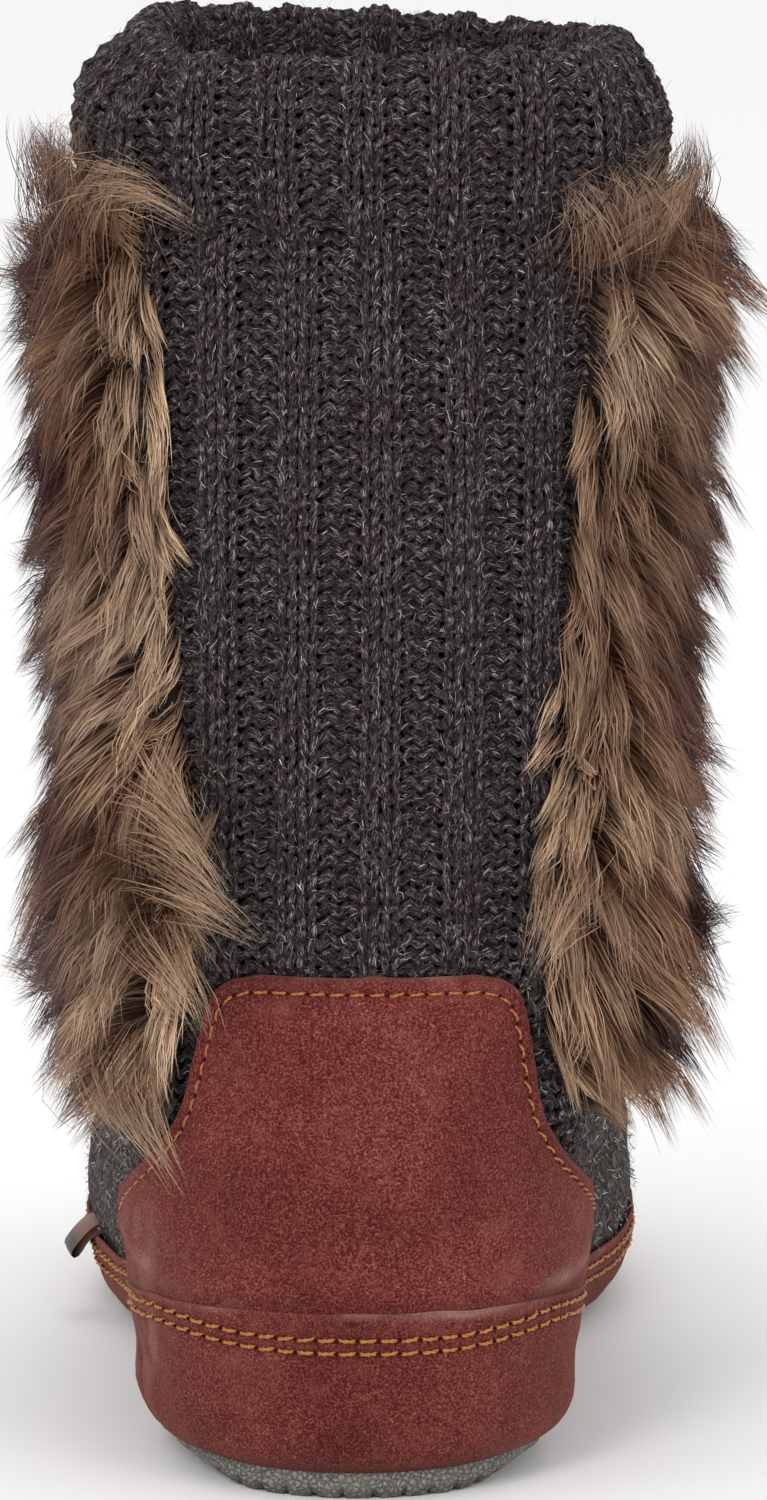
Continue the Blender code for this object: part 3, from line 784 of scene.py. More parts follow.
def make_shell():
    columns = 216
    u = np.arange(columns) / columns
    low = np.concatenate((np.linspace(0.0, 3.0, 6), np.linspace(3.15, 9.0, 34), np.linspace(9.4, TOP, 12)))
    U, V = np.meshgrid(u, low)
    p, n = surface(U, V), outward(U, V)
    lumps = 0.50 * noise(p, 7.0, 11) + 0.30 * noise(p, 2.6, 12)
    # the felt stands full over the band at the sides
    full = 1.7 * ramp(44.0, 75.0, p[..., 1]) * ramp(2.75, 3.25, V) * (1 - ramp(4.6, 6.2, V))
    sink = -1.8 * ramp(4.4, 5.6, V) * (1 - ramp(22.0, 50.0, p[..., 1])) - 1.8 * ramp(7.0, 8.2, V) * ramp(22.0, 50.0, p[..., 1])
    outer = p + n * (lumps * ramp(2.9, 3.3, V) + full + sink)[..., None]
    top_rows = np.linspace(0.0, 1.0, 30)
    V2 = TOP * (1 - top_rows) ** 0.82
    U2, V2 = np.meshgrid(u, V2)
    inner = offset(U2, V2, -WALL, SOLE_THICKNESS + GAP)
    n2 = outward(U2, V2)
    ribs = np.cos(2 * math.pi * 24 * U2 + 0.6)
    inner = inner - n2 * (0.75 * ribs * ramp(8.0, 9.5, V2) + 0.15 * noise(inner, 2.2, 13))[..., None]
    inner[-1, :, 2] = outer[0, :, 2]
    inner[0, :, 2] = outer[-1, :, 2]
    rows = np.concatenate((outer, inner))
    made = mesh_of("upper_shell", rows, quads(len(rows), columns, True, True), felt)
    made.data.materials.append(lining)
    made.data.materials.append(shade_backing)
    index = np.zeros((len(rows), columns), np.int32)
    index[len(outer) - 1 :] = 1
    # painted shade: near-black cloth behind the yarn, so that the gaps between the stitches look shaded
    behind = (V[:-1] > 4.0) & (p[:-1, :, 1] < np.where(p[:-1, :, 2] > 74.0, 45.0, 25.0)) | (p[:-1, :, 2] > 94.0)
    index[: len(outer) - 1][behind] = 2
    made.data.polygons.foreach_set("material_index", index.ravel())
    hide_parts("upper")


make_shell()

# ---- knit: each course is one yarn, looped through the course below -----------------------------------------
COURSE = 2.86
YARN = 0.91
STEPS = 8              # along one stitch
SIDES = 5


def rib_sign(wales):
    """1 on knit wales and -1 on purl, turned over quickly between them. wales is in stitches."""
    k = np.cos(2 * math.pi * (wales - 0.0) / 4.0)
    return np.tanh(4.0 * k)


def yarn_rows(field, wale, count, first, heights, jitter_seed, relief, start, loop=0.90, tall=2.25, deep=0.80, press=None):
    """Courses of stitches. Stitch i of a course starts at first + i * wale; start is the wale number of
    the first stitch, counted from a knit pair's middle; press says where sewing flattens the knit.
    Returns paths, normals, radii, distance along the yarn, and each point's place in the field."""
    rng = np.random.default_rng(jitter_seed)
    rows = len(heights)
    t = np.linspace(0.0, 2 * math.pi * count, STEPS * count + 1)
    stitches = t / (2 * math.pi)
    index = np.clip(np.floor(stitches + 1e-9).astype(int), 0, count - 1)
    jx, jy, jd = (rng.normal(0.0, s, (rows, count)) for s in (0.15 * wale / 3.68, 0.17, 0.14))
    swell = 1 + rng.normal(0.0, 0.08, (rows, count))
    w = np.abs(np.sin(t / 2))                      # 0 at a stitch's ends
    x = first + wale * stitches + loop * np.sin(2 * t)
    y = -tall * np.cos(t)
    sign = rib_sign(start + stitches)
    d = -np.atleast_2d(deep) * np.cos(2 * t) * sign
    X = x[None] + jx[:, index] * w
    Y = np.asarray(heights)[:, None] + y[None] + jy[:, index] * w
    D = d + jd[:, index] * w + relief * np.tanh(1.6 * np.cos(2 * math.pi * (start + stitches) / 4.0))[None] / np.tanh(1.6)
    P, N = field.at(X, Y)
    D = D + 0.40 * noise(P, 9.0, jitter_seed + 1)
    flat = press(X, Y) if press else np.zeros(X.shape)
    path = P + N * (D * (1 - 0.7 * flat) - 1.9 * flat)[..., None]
    radius = YARN * swell[:, index] * (1 - 0.12 * flat)
    along = np.cumsum(np.concatenate((np.zeros((rows, 1)), np.linalg.norm(np.diff(path, axis=1), axis=-1)), 1), 1)
    along += np.arange(rows)[:, None] * 37.7
    return path, N, radius, along, X, Y


def yarn_mesh(name, path, up, radius, along, keep, material):
    points, angles = tubes(path, up, radius, SIDES)
    n, m = path.shape[:2]
    info = np.zeros((n, m, SIDES, 3))
    info[..., 0] = along[:, :, None]
    info[..., 1] = np.cos(angles)
    info[..., 2] = np.sin(angles)
    return mesh_of(name, points, tube_quads(n, m, SIDES, keep), material, vectors={"yarn": info})


def back_field():
    s = np.linspace(-56.0, 56.0, 113)
    z = np.linspace(58.0, 242.0, 93)
    points, normals = [], []
    for height in z:
        v = float(level_of_height(height))
        us = row_us(v, s)
        points.append(surface(us, v))
        normals.append(normal(us, v))
    return Field(s, z, np.array(points), np.array(normals))


back = back_field()


def counter_line(inset):
    """The counter's edge moved in by a distance, up the inner side, over the top and down the outer side:
    distance from the back seam, height."""
    h = np.concatenate((np.linspace(30.0, 91.0, 70), np.linspace(91.0, 96.2, 40)[1:]))
    side = np.stack((counter_reach(h), h), -1)
    across = np.linspace(20.0, -20.0, 41)[1:-1]
    over = np.stack((across, np.full(39, 96.2)), -1)
    line = np.concatenate((side, over, side[::-1] * (-1, 1)))
    way = np.gradient(line, axis=0)
    way /= np.linalg.norm(way, axis=1, keepdims=True)
    # soften the corner so that the inner line doesn't cross itself
    inward_ = np.stack((-way[:, 1], way[:, 0]), -1)
    for _ in range(6):
        inward_[1:-1] = (inward_[:-2] + 2 * inward_[1:-1] + inward_[2:]) / 4
    inward_ /= np.linalg.norm(inward_, axis=1, keepdims=True)
    return line + inward_ * inset


counter_edge_line = counter_line(0.0)
counter_stitch_line = counter_line(3.0)


def to_counter(s, z):
    """Distance outside the counter's edge, less than 0 inside it."""
    s, z = np.broadcast_arrays(s, z)
    flat = np.stack((s, z), -1).reshape(-1, 2)
    near = np.zeros(len(flat))
    for begin in range(0, len(flat), 3000):
        block = flat[begin : begin + 3000]
        near[begin : begin + 3000] = np.sqrt(((block[:, None] - counter_edge_line[None]) ** 2).sum(-1).min(1))
    inside = (z < 96.2) & (np.abs(s) < counter_reach(np.clip(z, 36.4, 96.2)))
    return np.where(inside, -1.0, 1.0) * near.reshape(s.shape)


def make_back_knit():
    wales, wale = 28, RIB / 4
    heights = np.arange(58.5, 238.0, COURSE)
    # a knit pair's middle is at RIB_PHASE, so stitch 0 starts 14 wales outward of it
    start = -14

    def press(X, Y):
        return np.maximum(1 - ramp(-0.3, 3.2, to_counter(X, Y)), 0.55 * ramp(228.0, 234.5, Y))

    path, N, radius, along, X, Y = yarn_rows(
        back, wale, wales, RIB_PHASE + start * wale, heights, 21, 1.10, start, press=press
    )
    path = path + N * 0.15
    s, z = (X[:, :-1] + X[:, 1:]) / 2, (Y[:, :-1] + Y[:, 1:]) / 2
    under_counter = to_counter(s, z) < -2.4
    under_fur = (np.abs(s) > fur_edge(z) + 7.0) & (z > 76.0) | (np.abs(s) > 52.0)
    keep = ~(under_counter | under_fur)
    yarn_mesh("knit_back", path, N, radius, along, keep, knit)
    return path, N, radius, keep


back_yarn = make_back_knit()


def cuff_field():
    """Round the cuff in millimetres at its mid height, and up its profile from the hem, over, to inside."""
    outs = np.array([row[1] for row in CUFF])
    highs = np.array([row[2] for row in CUFF])
    run = np.concatenate(([0.0], np.cumsum(np.hypot(np.diff(outs), np.diff(highs)))))
    out_at, high_at = smooth(run, outs), smooth(run, highs)
    around = np.linspace(0.0, 1.0, 289)
    runs = round_table(15.0)
    us = np.interp(around * runs[-1], runs, ROUND)
    q = np.linspace(0.0, run[-1], 90)
    e = 0.05
    points, outward_ = [], []

    def ring(q_):
        height = float(high_at(q_))
        v = min(float(level_of_height(min(height, COLLAR_HEIGHT))), float(TOP))
        n = unit(normal(us, v) * (1.0, 1.0, 0.0))
        top = float(ramp(248.0, 261.5, height))
        inner = max(0.0, float(q_) - run[8]) / (run[-1] - run[8])
        lean = np.where(n[:, 0] < 0, CUFF_LEAN_OUTER, CUFF_LEAN) * np.abs(n[:, 0]) ** 1.5
        lean = lean * (top if inner == 0.0 else 1.0 - 0.85 * inner**1.5)
        p = surface(us, v) + n * (float(out_at(q_)) - lean)[:, None]
        tilt = float(ramp(CUFF_BOTTOM, COLLAR_HEIGHT, height))
        p[:, 2] = height + rim_lift(p[:, 0], p[:, 1]) * tilt
        # the crown stands a little higher over each rib, and lower on the far side
        p[:, 2] += top * (0.45 * np.cos(2 * math.pi * 40 * around + 1.0) + 0.5 * np.sin(2 * math.pi * 3 * around + 0.7))
        p[:, 2] -= CUFF_SAG * top * ramp(55.0, 112.0, p[:, 1])
        return p

    for q_ in q:
        a, b = ring(max(q_ - e, 0.0)), ring(min(q_ + e, run[-1]))
        p = ring(q_)
        along = np.roll(p, -1, 0) - np.roll(p, 1, 0)
        along[0] = along[-1] = p[1] - p[-2]
        points.append(p)
        outward_.append(unit(np.cross(along, b - a)))
    return Field(around, q, np.array(points), np.array(outward_)), run[-1], runs[-1]


cuff, cuff_run, cuff_round = cuff_field()


def make_cuff():
    columns, rows = 192, 26
    a, q = np.meshgrid(np.arange(columns) / columns, np.linspace(0.0, cuff_run, rows))
    P, N = cuff.at(a, q)
    ribs = np.cos(2 * math.pi * 24 * a + 0.6)
    skin = P + N * (0.8 * ribs - 1.25)[..., None]
    # the hem is closed against the shaft, and the inner edge runs down the lining
    deep = P - N * 2.4
    rows_ = np.concatenate((skin, deep[::-1]))
    # painted shade: the cuff's body under the yarn is near-black
    made = mesh_of("cuff_body", rows_, quads(len(rows_), columns, True, True), shade_backing)
    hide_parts("cuff")

    wales = 96
    wale = 1.0 / wales
    pitch = 2.72
    heights = np.arange(1.6, cuff_run - 1.0, pitch)
    # the turned cuff shows the ribs' other face: its knit pairs stand between the shaft's
    middle = -1.4 / cuff_round
    start = -48
    first = middle + start * wale

    # the ribs flatten where the cuff turns over its crown
    calm = (1 - 0.5 * np.exp(-(((heights - 0.66 * cuff_run) / 7.0) ** 2)))[:, None]

    class Round:
        @staticmethod
        def at(x, y):
            return cuff.at(np.mod(x, 1.0), y)

    path, N, radius, along, X, Y = yarn_rows(
        Round, wale, wales, first, heights, 33, 0.95 * calm, start, loop=0.88 * wale / 3.6, tall=2.12, deep=0.74 * calm
    )
    ends = (path[:, :1] + path[:, -1:]) / 2
    path[:, :1] = ends
    path[:, -1:] = ends
    keep = np.ones((path.shape[0], path.shape[1] - 1), bool)
    yarn_mesh("cuff_knit", path, N, radius * 0.98, along, keep, knit)
    return path, N, radius, keep


cuff_yarn = make_cuff()


# ---- suede ----------------------------------------------------------------------------------------------------
# creases pressed in the suede: x, y, z of both ends, width, depth (less than 0 is a ridge)
CREASES = (
    ("outer_fold",        -40.2, 50.0, 33.0, -38.8, 40.0, 12.0, 2.0,  1.15),
    ("outer_fold_ridge",  -42.4, 60.0, 30.0, -40.6, 52.0, 11.0, 2.6, -0.75),
    ("outer_corner",      -38.0, 28.0, 22.0, -33.0, 17.0,  9.0, 3.0,  0.45),
    ("outer_drag",        -40.8, 44.0, 44.0, -36.0, 20.0, 39.2, 1.7, -0.95),
    ("outer_drag_under",  -40.8, 46.0, 40.0, -37.5, 26.0, 36.6, 1.8,  0.75),
    ("outer_drag_tail",   -36.0, 20.0, 39.2, -29.0, 10.0, 36.4, 1.5, -0.45),
    ("outer_wing",        -41.5, 50.0, 50.0, -40.5, 40.0, 44.0, 2.0,  0.40),
    ("inner_drag",         39.6, 36.0, 40.0,  33.0, 15.0, 36.6, 1.8, -0.45),
    ("inner_drag_under",   39.4, 34.0, 36.2,  32.0, 14.0, 33.6, 1.6,  0.35),
    ("inner_side",         41.5, 52.0, 30.0,  40.0, 40.0, 12.0, 2.4,  0.50),
    ("inner_neck",         34.5, 14.0, 72.0,  37.5, 24.0, 60.0, 2.6,  0.35),
    ("heel_dent",         -12.0,  2.0, 16.0,   6.0,  1.5, 14.0, 4.5,  0.35),
    ("ball_fold",         -47.0, 140.0, 14.0, -45.5, 132.0, 4.0, 2.4, 0.60),
    ("ball_fold_two",     -44.0, 118.0, 18.0, -43.0, 110.0, 5.0, 2.2, 0.45),
    ("inner_ball_fold",    49.5, 166.0, 12.0,  47.5, 158.0, 4.0, 2.4, 0.50),
)


def to_line(p, a, b):
    """Distance of points from the segment a..b."""
    a, b = np.asarray(a, float), np.asarray(b, float)
    f = np.clip(((p - a) @ (b - a)) / ((b - a) @ (b - a)), 0.0, 1.0)
    return np.linalg.norm(p - (a + f[..., None] * (b - a)), axis=-1)


def creases(p):
    """How far the creases take the surface in or out, and how worn it is along their ridges."""
    out, worn = np.zeros(p.shape[:-1]), np.zeros(p.shape[:-1])
    for _, x0, y0, z0, x1, y1, z1, width, depth in CREASES:
        near = np.exp(-((to_line(p, (x0, y0, z0), (x1, y1, z1)) / width) ** 2))
        out -= depth * near
        if depth < 0:
            worn = np.maximum(worn, near)
    return out, worn


def drape(p):
    """The band hangs down over the sole at the sides and the toe, and stands clear of it at the heel."""
    p = p.copy()
    y = p[..., 1]
    p[..., 2] -= (1.3 + 3.9 * ramp(28.0, 60.0, y)) * (1 - ramp(5.0, 22.0, p[..., 2] - spring(y)))
    # its foot is rolled in under the sides
    low = np.clip(1 - (p[..., 2] - spring(y)) / 13.0, 0.0, 1.0) ** 1.2
    spine = np.clip(y, 40.0, 225.0)
    way = np.stack((plan_centre(spine / LENGTH) - p[..., 0], spine - y), -1)
    way /= np.maximum(np.linalg.norm(way, axis=-1, keepdims=True), 1e-6)
    p[..., :2] += way * (low * (0.4 + 4.6 * ramp(8.0, 34.0, y) * (1 - 0.6 * ramp(210.0, 250.0, y))))[..., None]
    return p


def band_out(u, v, p):
    """The band's own lumps and dents over its plain offset."""
    lumps = 0.42 * noise(p, 17.0, 41) + 0.18 * noise(p, 5.0, 42)
    # a soft roll along the turned foot and a hollow over it
    roll = 0.35 * np.exp(-(((v - 1.15) / 0.5) ** 2)) - 0.20 * np.exp(-(((v - 2.05) / 0.35) ** 2))
    return lumps * ramp(0.15, 0.9, v) * (1 - 0.65 * ramp(2.5, 3.0, v)) + roll + creases(p)[0]


def band_point(u, v, out, lip=0.0):
    p = offset(u, v, 0.0)
    return drape(offset(u, v, GAP + FOXING_THICKNESS + band_out(u, v, p) + out + lip, SOLE_THICKNESS + GAP))


def stitch_depth(u):
    """Distance of the two stitch rows below the band's edge: wide at the heel, close to it at the sides."""
    t = (1 - np.cos(2 * math.pi * np.asarray(u))) / 2
    near = ramp(0.004, 0.085, t)
    return 4.7 - 3.0 * near, 7.1 - 3.0 * near


def band_rows():
    us = np.arange(0, 1, 1 / 720)
    edge = surface(us, float(BAND_EDGE))[:, 2]
    first, second = stitch_depth(us)
    tables = []
    for depth in (first, second):
        v = levels_at(us, edge - depth)
        p = band_point(us, v, 0.0)
        tables.append((us, v, p))
    return tables


stitch_lines = band_rows()


def even_steps(points, pitch, closed):
    """Places at an even pitch along a line, as fractions of its point numbers."""
    step = np.linalg.norm(np.diff(points, axis=0), axis=1)
    if closed:
        step = np.append(step, np.linalg.norm(points[0] - points[-1]))
    run = np.concatenate(([0.0], np.cumsum(step)))
    count = int(round(run[-1] / pitch))
    at = np.arange(count + (0 if closed else 1)) * run[-1] / count
    return np.interp(at, run, np.arange(len(run)))


def pull(points, holes, width, depth):
    """How far thread pulls the surface in near its holes."""
    out = np.zeros(points.shape[:-1])
    flat, sunk = points.reshape(-1, 3), out.reshape(-1)
    for start in range(0, len(flat), 4000):
        block = flat[start : start + 4000]
        near = ((block[:, None] - holes[None]) ** 2).sum(-1).min(1)
        sunk[start : start + 4000] = depth * np.exp(-near / width**2)
    return out


holes, threads = [], []       # threads: start, end, way out
for line, (us, vs, points) in enumerate(stitch_lines):
    places = even_steps(points, 3.85, True)
    u = np.interp(places, np.arange(len(us) + 1), np.append(us, 1.0))
    v = np.interp(places, np.arange(len(us) + 1), np.append(vs, vs[0]))
    p = band_point(u, v, 0.0)
    n = outward(u, v)
    holes.append(p)
    threads.append((p, np.roll(p, -1, 0), unit(n + np.roll(n, -1, 0)), "band"))
band_holes = np.concatenate(holes)


def make_band():
    # finer round the heel than along the foot
    runs = round_table(2.0)
    fine = np.linspace(-66.0, 66.0, 230, endpoint=False)
    rest = np.linspace(66.0, runs[-1] - 66.0, 270, endpoint=False)
    us = row_us(2.0, np.concatenate((fine, rest)))
    columns = len(us)
    levels = np.concatenate((
        np.linspace(0.0, 1.0, 7), np.linspace(1.0, 2.0, 7)[1:], np.linspace(2.0, BAND_EDGE, 22)[1:],
    ))
    U, V = np.meshgrid(us, levels)
    edge = surface(us, float(BAND_EDGE))[:, 2]
    base = offset(U, V, 0.0)
    to_edge = edge[None] - base[..., 2]
    wave = 0.35 * noise(np.stack((us * 130, us * 0 + 3, us * 0), -1), 2.0, 44)
    near = ramp(3.2, 0.0, to_edge)
    lip = 0.20 * ramp(2.2, 0.2, to_edge) + 0.12 * noise(base, 3.0, 45) * near
    depth1, depth2 = stitch_depth(U)
    trough = -0.26 * (np.exp(-(((to_edge - depth1) / 0.9) ** 2)) + np.exp(-(((to_edge - depth2) / 0.9) ** 2)))
    ridge = 0.20 * np.exp(-(((to_edge - (depth1 + depth2) / 2) / 0.8) ** 2))
    plain = band_point(U, V, 0.0)
    sink = pull(plain, band_holes, 0.9, 0.38)
    outer = band_point(U, V, lip + trough + ridge - sink)
    outer[..., 2] += near * wave[None]
    last, n = outer[-1], outward(us, float(BAND_EDGE))
    up = np.array((0.0, 0.0, 1.0))
    crest = [last + up * 0.16 - n * 0.10, last + up * 0.22 - n * 0.34, last + up * 0.10 - n * 0.62, last - up * 0.8 - n * 0.9]
    inner_levels = np.linspace(BAND_EDGE - 0.4, 0.0, 8)
    U2, V2 = np.meshgrid(us, inner_levels)
    inner = drape(offset(U2, V2, GAP - 0.1, SOLE_THICKNESS + GAP))
    # the foot is turned in and lies on the sole
    turned = [outer[0] - outward(us, 0.0) * k - up * z for k, z in ((0.35, 0.22), (1.1, 0.38))]
    rows = np.concatenate((np.array(turned)[::-1], outer, np.array(crest), inner))
    outer = rows[: len(outer) + 2]
    to_edge = np.concatenate((to_edge[:1], to_edge[:1], to_edge))
    sink = np.concatenate((sink[:1] * 0, sink[:1] * 0, sink))
    worn = creases(outer)[1]
    edge_tint = np.zeros(rows.shape[:2])
    edge_tint[: len(outer)] = ramp(0.9, 0.0, to_edge) * 0.35
    edge_tint[len(outer) : len(outer) + 4] = 0.45
    scuff = np.zeros(rows.shape[:2])
    x, z = outer[..., 0], outer[..., 2]
    at_back = outer[..., 1] < 60.0
    # one rubbed place on the edge behind the inner side, and faint ones round the foot
    patch = np.exp(-(((x - 18.0) / 9.0) ** 2)) * ramp(2.2, 0.3, to_edge) * at_back
    patch *= 0.6 + 0.4 * noise(outer * (0.5, 0.5, 2.2), 2.0, 48)
    rubbed = worn * (0.55 + 0.45 * noise(outer, 2.6, 49)) * 0.85
    corner = np.exp(-(((x + 41.0) / 5.5) ** 2)) * ramp(10.0, 22.0, z) * ramp(44.0, 26.0, outer[..., 1])
    rubbed = rubbed + 0.42 * corner * ramp(-0.2, 0.5, noise(outer * (1.0, 1.0, 0.5), 2.8, 50))
    scuff[: len(outer)] = np.clip(
        0.85 * patch + rubbed + 0.35 * ramp(0.25, 0.75, noise(outer, 9.0, 46)) * ramp(1.4, 0.0, to_edge), 0, 1
    )
    scuff[len(outer) : len(outer) + 4] = 0.7 * (np.exp(-(((last[:, 0] - 18.0) / 9.0) ** 2)) * (last[:, 1] < 60))[None]
    # painted shade: a little over the whole band, more along its turned-under foot, and where the thread pulls the
    # suede in at the holes; real dirt in patches low down
    dirt_and_shade = np.zeros(rows.shape[:2])
    dirt_and_shade[: len(outer)] = np.clip(
        0.13 + 0.50 * ramp(3.4, 0.0, outer[..., 2] - outer[2, :, 2][None])
        + 0.35 * ramp(0.1, 0.8, noise(outer, 13.0, 47)) * ramp(26.0, 8.0, z)
        + 0.8 * sink,
        0, 1,
    )
    made = mesh_of(
        "band", rows, quads(len(rows), columns, True, True), suede,
        floats={"edge": edge_tint, "scuff": scuff, "dirt_and_shade": dirt_and_shade},
    )
    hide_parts("foxing")


make_band()


def counter_point(height, distance, out):
    """A place on the counter, by height at the back and distance from the back seam."""
    height, distance, out = np.broadcast_arrays(height, distance, out)
    v = level_of_height(height)
    u = all_us(v, distance)
    return offset(u, v, out), outward(u, v)


def make_counter():
    line = counter_stitch_line
    line = line[line[:, 1] > 40.0]
    steps = np.linalg.norm(np.diff(line, axis=0), axis=1)
    run = np.concatenate(([0.0], np.cumsum(steps)))
    count = int(run[-1] / 3.5)
    at = np.arange(count + 1) * run[-1] / count
    s, h = np.interp(at, run, line[:, 0]), np.interp(at, run, line[:, 1])
    line_points, line_out = counter_point(h, s, GAP + COUNTER_THICKNESS + 0.1)

    columns, rows = 126, 78
    # finer towards the edges, where it turns over
    a = np.sin(np.linspace(-1, 1, columns) * math.pi / 2) * 0.55 + np.linspace(-1, 1, columns) * 0.45
    b = np.linspace(0, 1, rows)
    b = b * 0.6 + 0.4 * np.sin(b * math.pi / 2)
    H = 32.0 + (96.2 - 32.0) * b
    A, Hh = np.meshgrid(a, H)
    S = A * counter_reach(Hh)
    top = 96.2 + 0.55 * np.exp(-(((S - 1.2) / 2.4) ** 2))      # the small tongue at the back seam
    Hh = np.where(Hh > 90.0, 90.0 + (Hh - 90.0) * (top - 90.0) / 6.2, Hh)
    near = np.abs(to_counter(S, Hh))
    border = np.zeros(A.shape, bool)
    border[:, 0] = border[:, -1] = border[-1] = True
    near[border] = 0.0
    turn = np.sqrt(np.clip(1 - (1 - np.clip(near / 1.1, 0, 1)) ** 2, 0, 1))
    base, _ = counter_point(Hh, S, 0.0)
    free = ramp(34.0, 44.0, Hh)
    lumps = (0.45 * noise(base, 15.0, 51) + 0.18 * noise(base, 4.5, 52)) * free
    # drag folds low on the wings, where the panel turns the corner
    fold = 0.34 * noise(base * (1.0, 1.0, 0.28), 6.5, 53) * ramp(28.0, 52.0, np.abs(S)) * ramp(66.0, 48.0, Hh) * free
    pressed, worn = creases(base)
    trough = -0.26 * np.exp(-(((near - 3.0) / 0.85) ** 2)) + 0.14 * np.exp(-(((near - 1.35) / 0.7) ** 2))
    thick = GAP - 0.9 + (COUNTER_THICKNESS + 0.9 + (lumps + fold + pressed) * turn + trough * turn) * (0.38 + 0.62 * turn)
    # behind the band's lip
    thick = thick - 0.55 * (1 - ramp(33.6, 36.1, Hh))
    full, out_way = counter_point(Hh, S, thick)
    sink = pull(full, line_points, 0.85, 0.42)
    outer = full - out_way * sink[..., None]
    inner, _ = counter_point(Hh, S, GAP - 1.3)
    m = rows * columns
    points = np.concatenate((outer.reshape(-1, 3), inner.reshape(-1, 3)))
    faces = [quads(rows, columns), quads(rows, columns)[:, ::-1] + m]

    def skirt(ids, flip):
        k = np.stack((ids[:-1], ids[1:], ids[1:] + m, ids[:-1] + m), -1)
        return k[:, ::-1] if not flip else k

    grid_ids = np.arange(m).reshape(rows, columns)
    faces += [skirt(grid_ids[0], False), skirt(grid_ids[-1], True), skirt(grid_ids[:, 0], True), skirt(grid_ids[:, -1], False)]
    edge_tint = ramp(0.75, 0.1, near) * 0.9
    rubbed = worn * (0.55 + 0.45 * noise(base, 2.6, 49)) * 0.8
    low_wing = np.exp(-(((base[..., 0] + 40.0) / 6.0) ** 2)) * ramp(58.0, 42.0, base[..., 2]) * ramp(44.0, 26.0, base[..., 1])
    rubbed = rubbed + 0.40 * low_wing * ramp(-0.2, 0.5, noise(base * (1.0, 1.0, 0.5), 3.0, 50))
    scuff = np.clip(rubbed + 0.55 * ramp(0.3, 0.85, noise(base, 3.2, 54)) * ramp(0.9, 0.0, near), 0, 1)
    # painted shadow along the line where the counter runs down under the band's lip, and painted shade where the thread
    # pulls the suede in at the holes; real dirt in patches
    seam = 0.45 * np.exp(-(((Hh - 36.6) / 1.3) ** 2))
    dirt_and_shade = np.clip(0.9 * sink + seam + 0.22 * ramp(0.2, 0.8, noise(base, 19.0, 55)), 0, 1)
    both = lambda k: np.concatenate((k.ravel(), k.ravel()))
    made = mesh_of(
        "counter", points, faces, suede,
        floats={"edge": both(edge_tint), "scuff": both(scuff), "dirt_and_shade": both(dirt_and_shade)},
    )
    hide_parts("heel_counter")
    # the thread lies in the trough
    p = line_points - line_out * 0.34
    threads.append((p[:-1], p[1:], unit(line_out[:-1] + line_out[1:]), "counter"))


make_counter()


def make_threads():
    """Each stitch is two twisted plies from hole to hole."""
    rng = np.random.default_rng(61)
    # name, row, thread, ply radius, twist radius, end gap
    kinds = (
        ("band_stitches", "band", band_thread, 0.235, 0.17, 0.38),
        ("counter_stitches", "counter", counter_thread, 0.175, 0.13, 0.46),
    )
    for name, wanted, look, ply_radius, twist, gap in kinds:
        starts = np.concatenate([a for a, b, n, k in threads if k == wanted])
        ends = np.concatenate([b for a, b, n, k in threads if k == wanted])
        out = np.concatenate([n for a, b, n, k in threads if k == wanted])
        along = unit(ends - starts)
        side = np.cross(out, along)
        # needle holes: small dark discs at the stitches' ends, painted shade of the holes
        ring = np.linspace(0, 2 * math.pi, 9)[:-1]
        size = 0.36 if wanted == "band" else 0.28
        discs = starts[:, None] + out[:, None] * 0.02 + size * (
            np.cos(ring)[None, :, None] * along[:, None] * 1.25 + np.sin(ring)[None, :, None] * side[:, None]
        )
        middle = (starts + out * 0.10)[:, None]
        fan = np.arange(8)
        tri = np.stack((np.full(8, 8), fan, (fan + 1) % 8), -1)[None] + (np.arange(len(starts)) * 9)[:, None, None]
        mesh_of(f"{wanted}_holes", np.concatenate((discs, middle), 1), tri.reshape(-1, 3), hole_shade)
        starts, ends = starts + along * gap, ends - along * gap
        steps = 7
        f = np.linspace(0.0, 1.0, steps)
        lift = -0.55 + 0.85 * np.sin(np.pi * np.clip(f, 0.0, 1.0)) ** 0.45
        slant = rng.normal(0.14, 0.10, len(starts))[:, None] * (f - 0.5)[None] * 2
        centre = (
            starts[:, None] * (1 - f)[None, :, None]
            + ends[:, None] * f[None, :, None]
            + out[:, None] * lift[None, :, None]
            + side[:, None] * slant[..., None]
        )
        points, faces, count = [], [], 0
        turn = rng.random(len(starts)) * 2 * math.pi
        for ply in (0.0, math.pi):
            angle = turn[:, None] + ply + f[None] * 2 * math.pi * 1.15
            path = centre + twist * (np.cos(angle)[..., None] * side[:, None] + np.sin(angle)[..., None] * out[:, None])
            ring, _ = tubes(path, np.broadcast_to(out[:, None], path.shape), ply_radius, 4)
            points.append(ring.reshape(-1, 3))
            faces.append(tube_quads(len(path), steps, 4) + count)
            count += ring.reshape(-1, 3).shape[0]
        mesh_of(name, np.concatenate(points), faces, look)


make_threads()


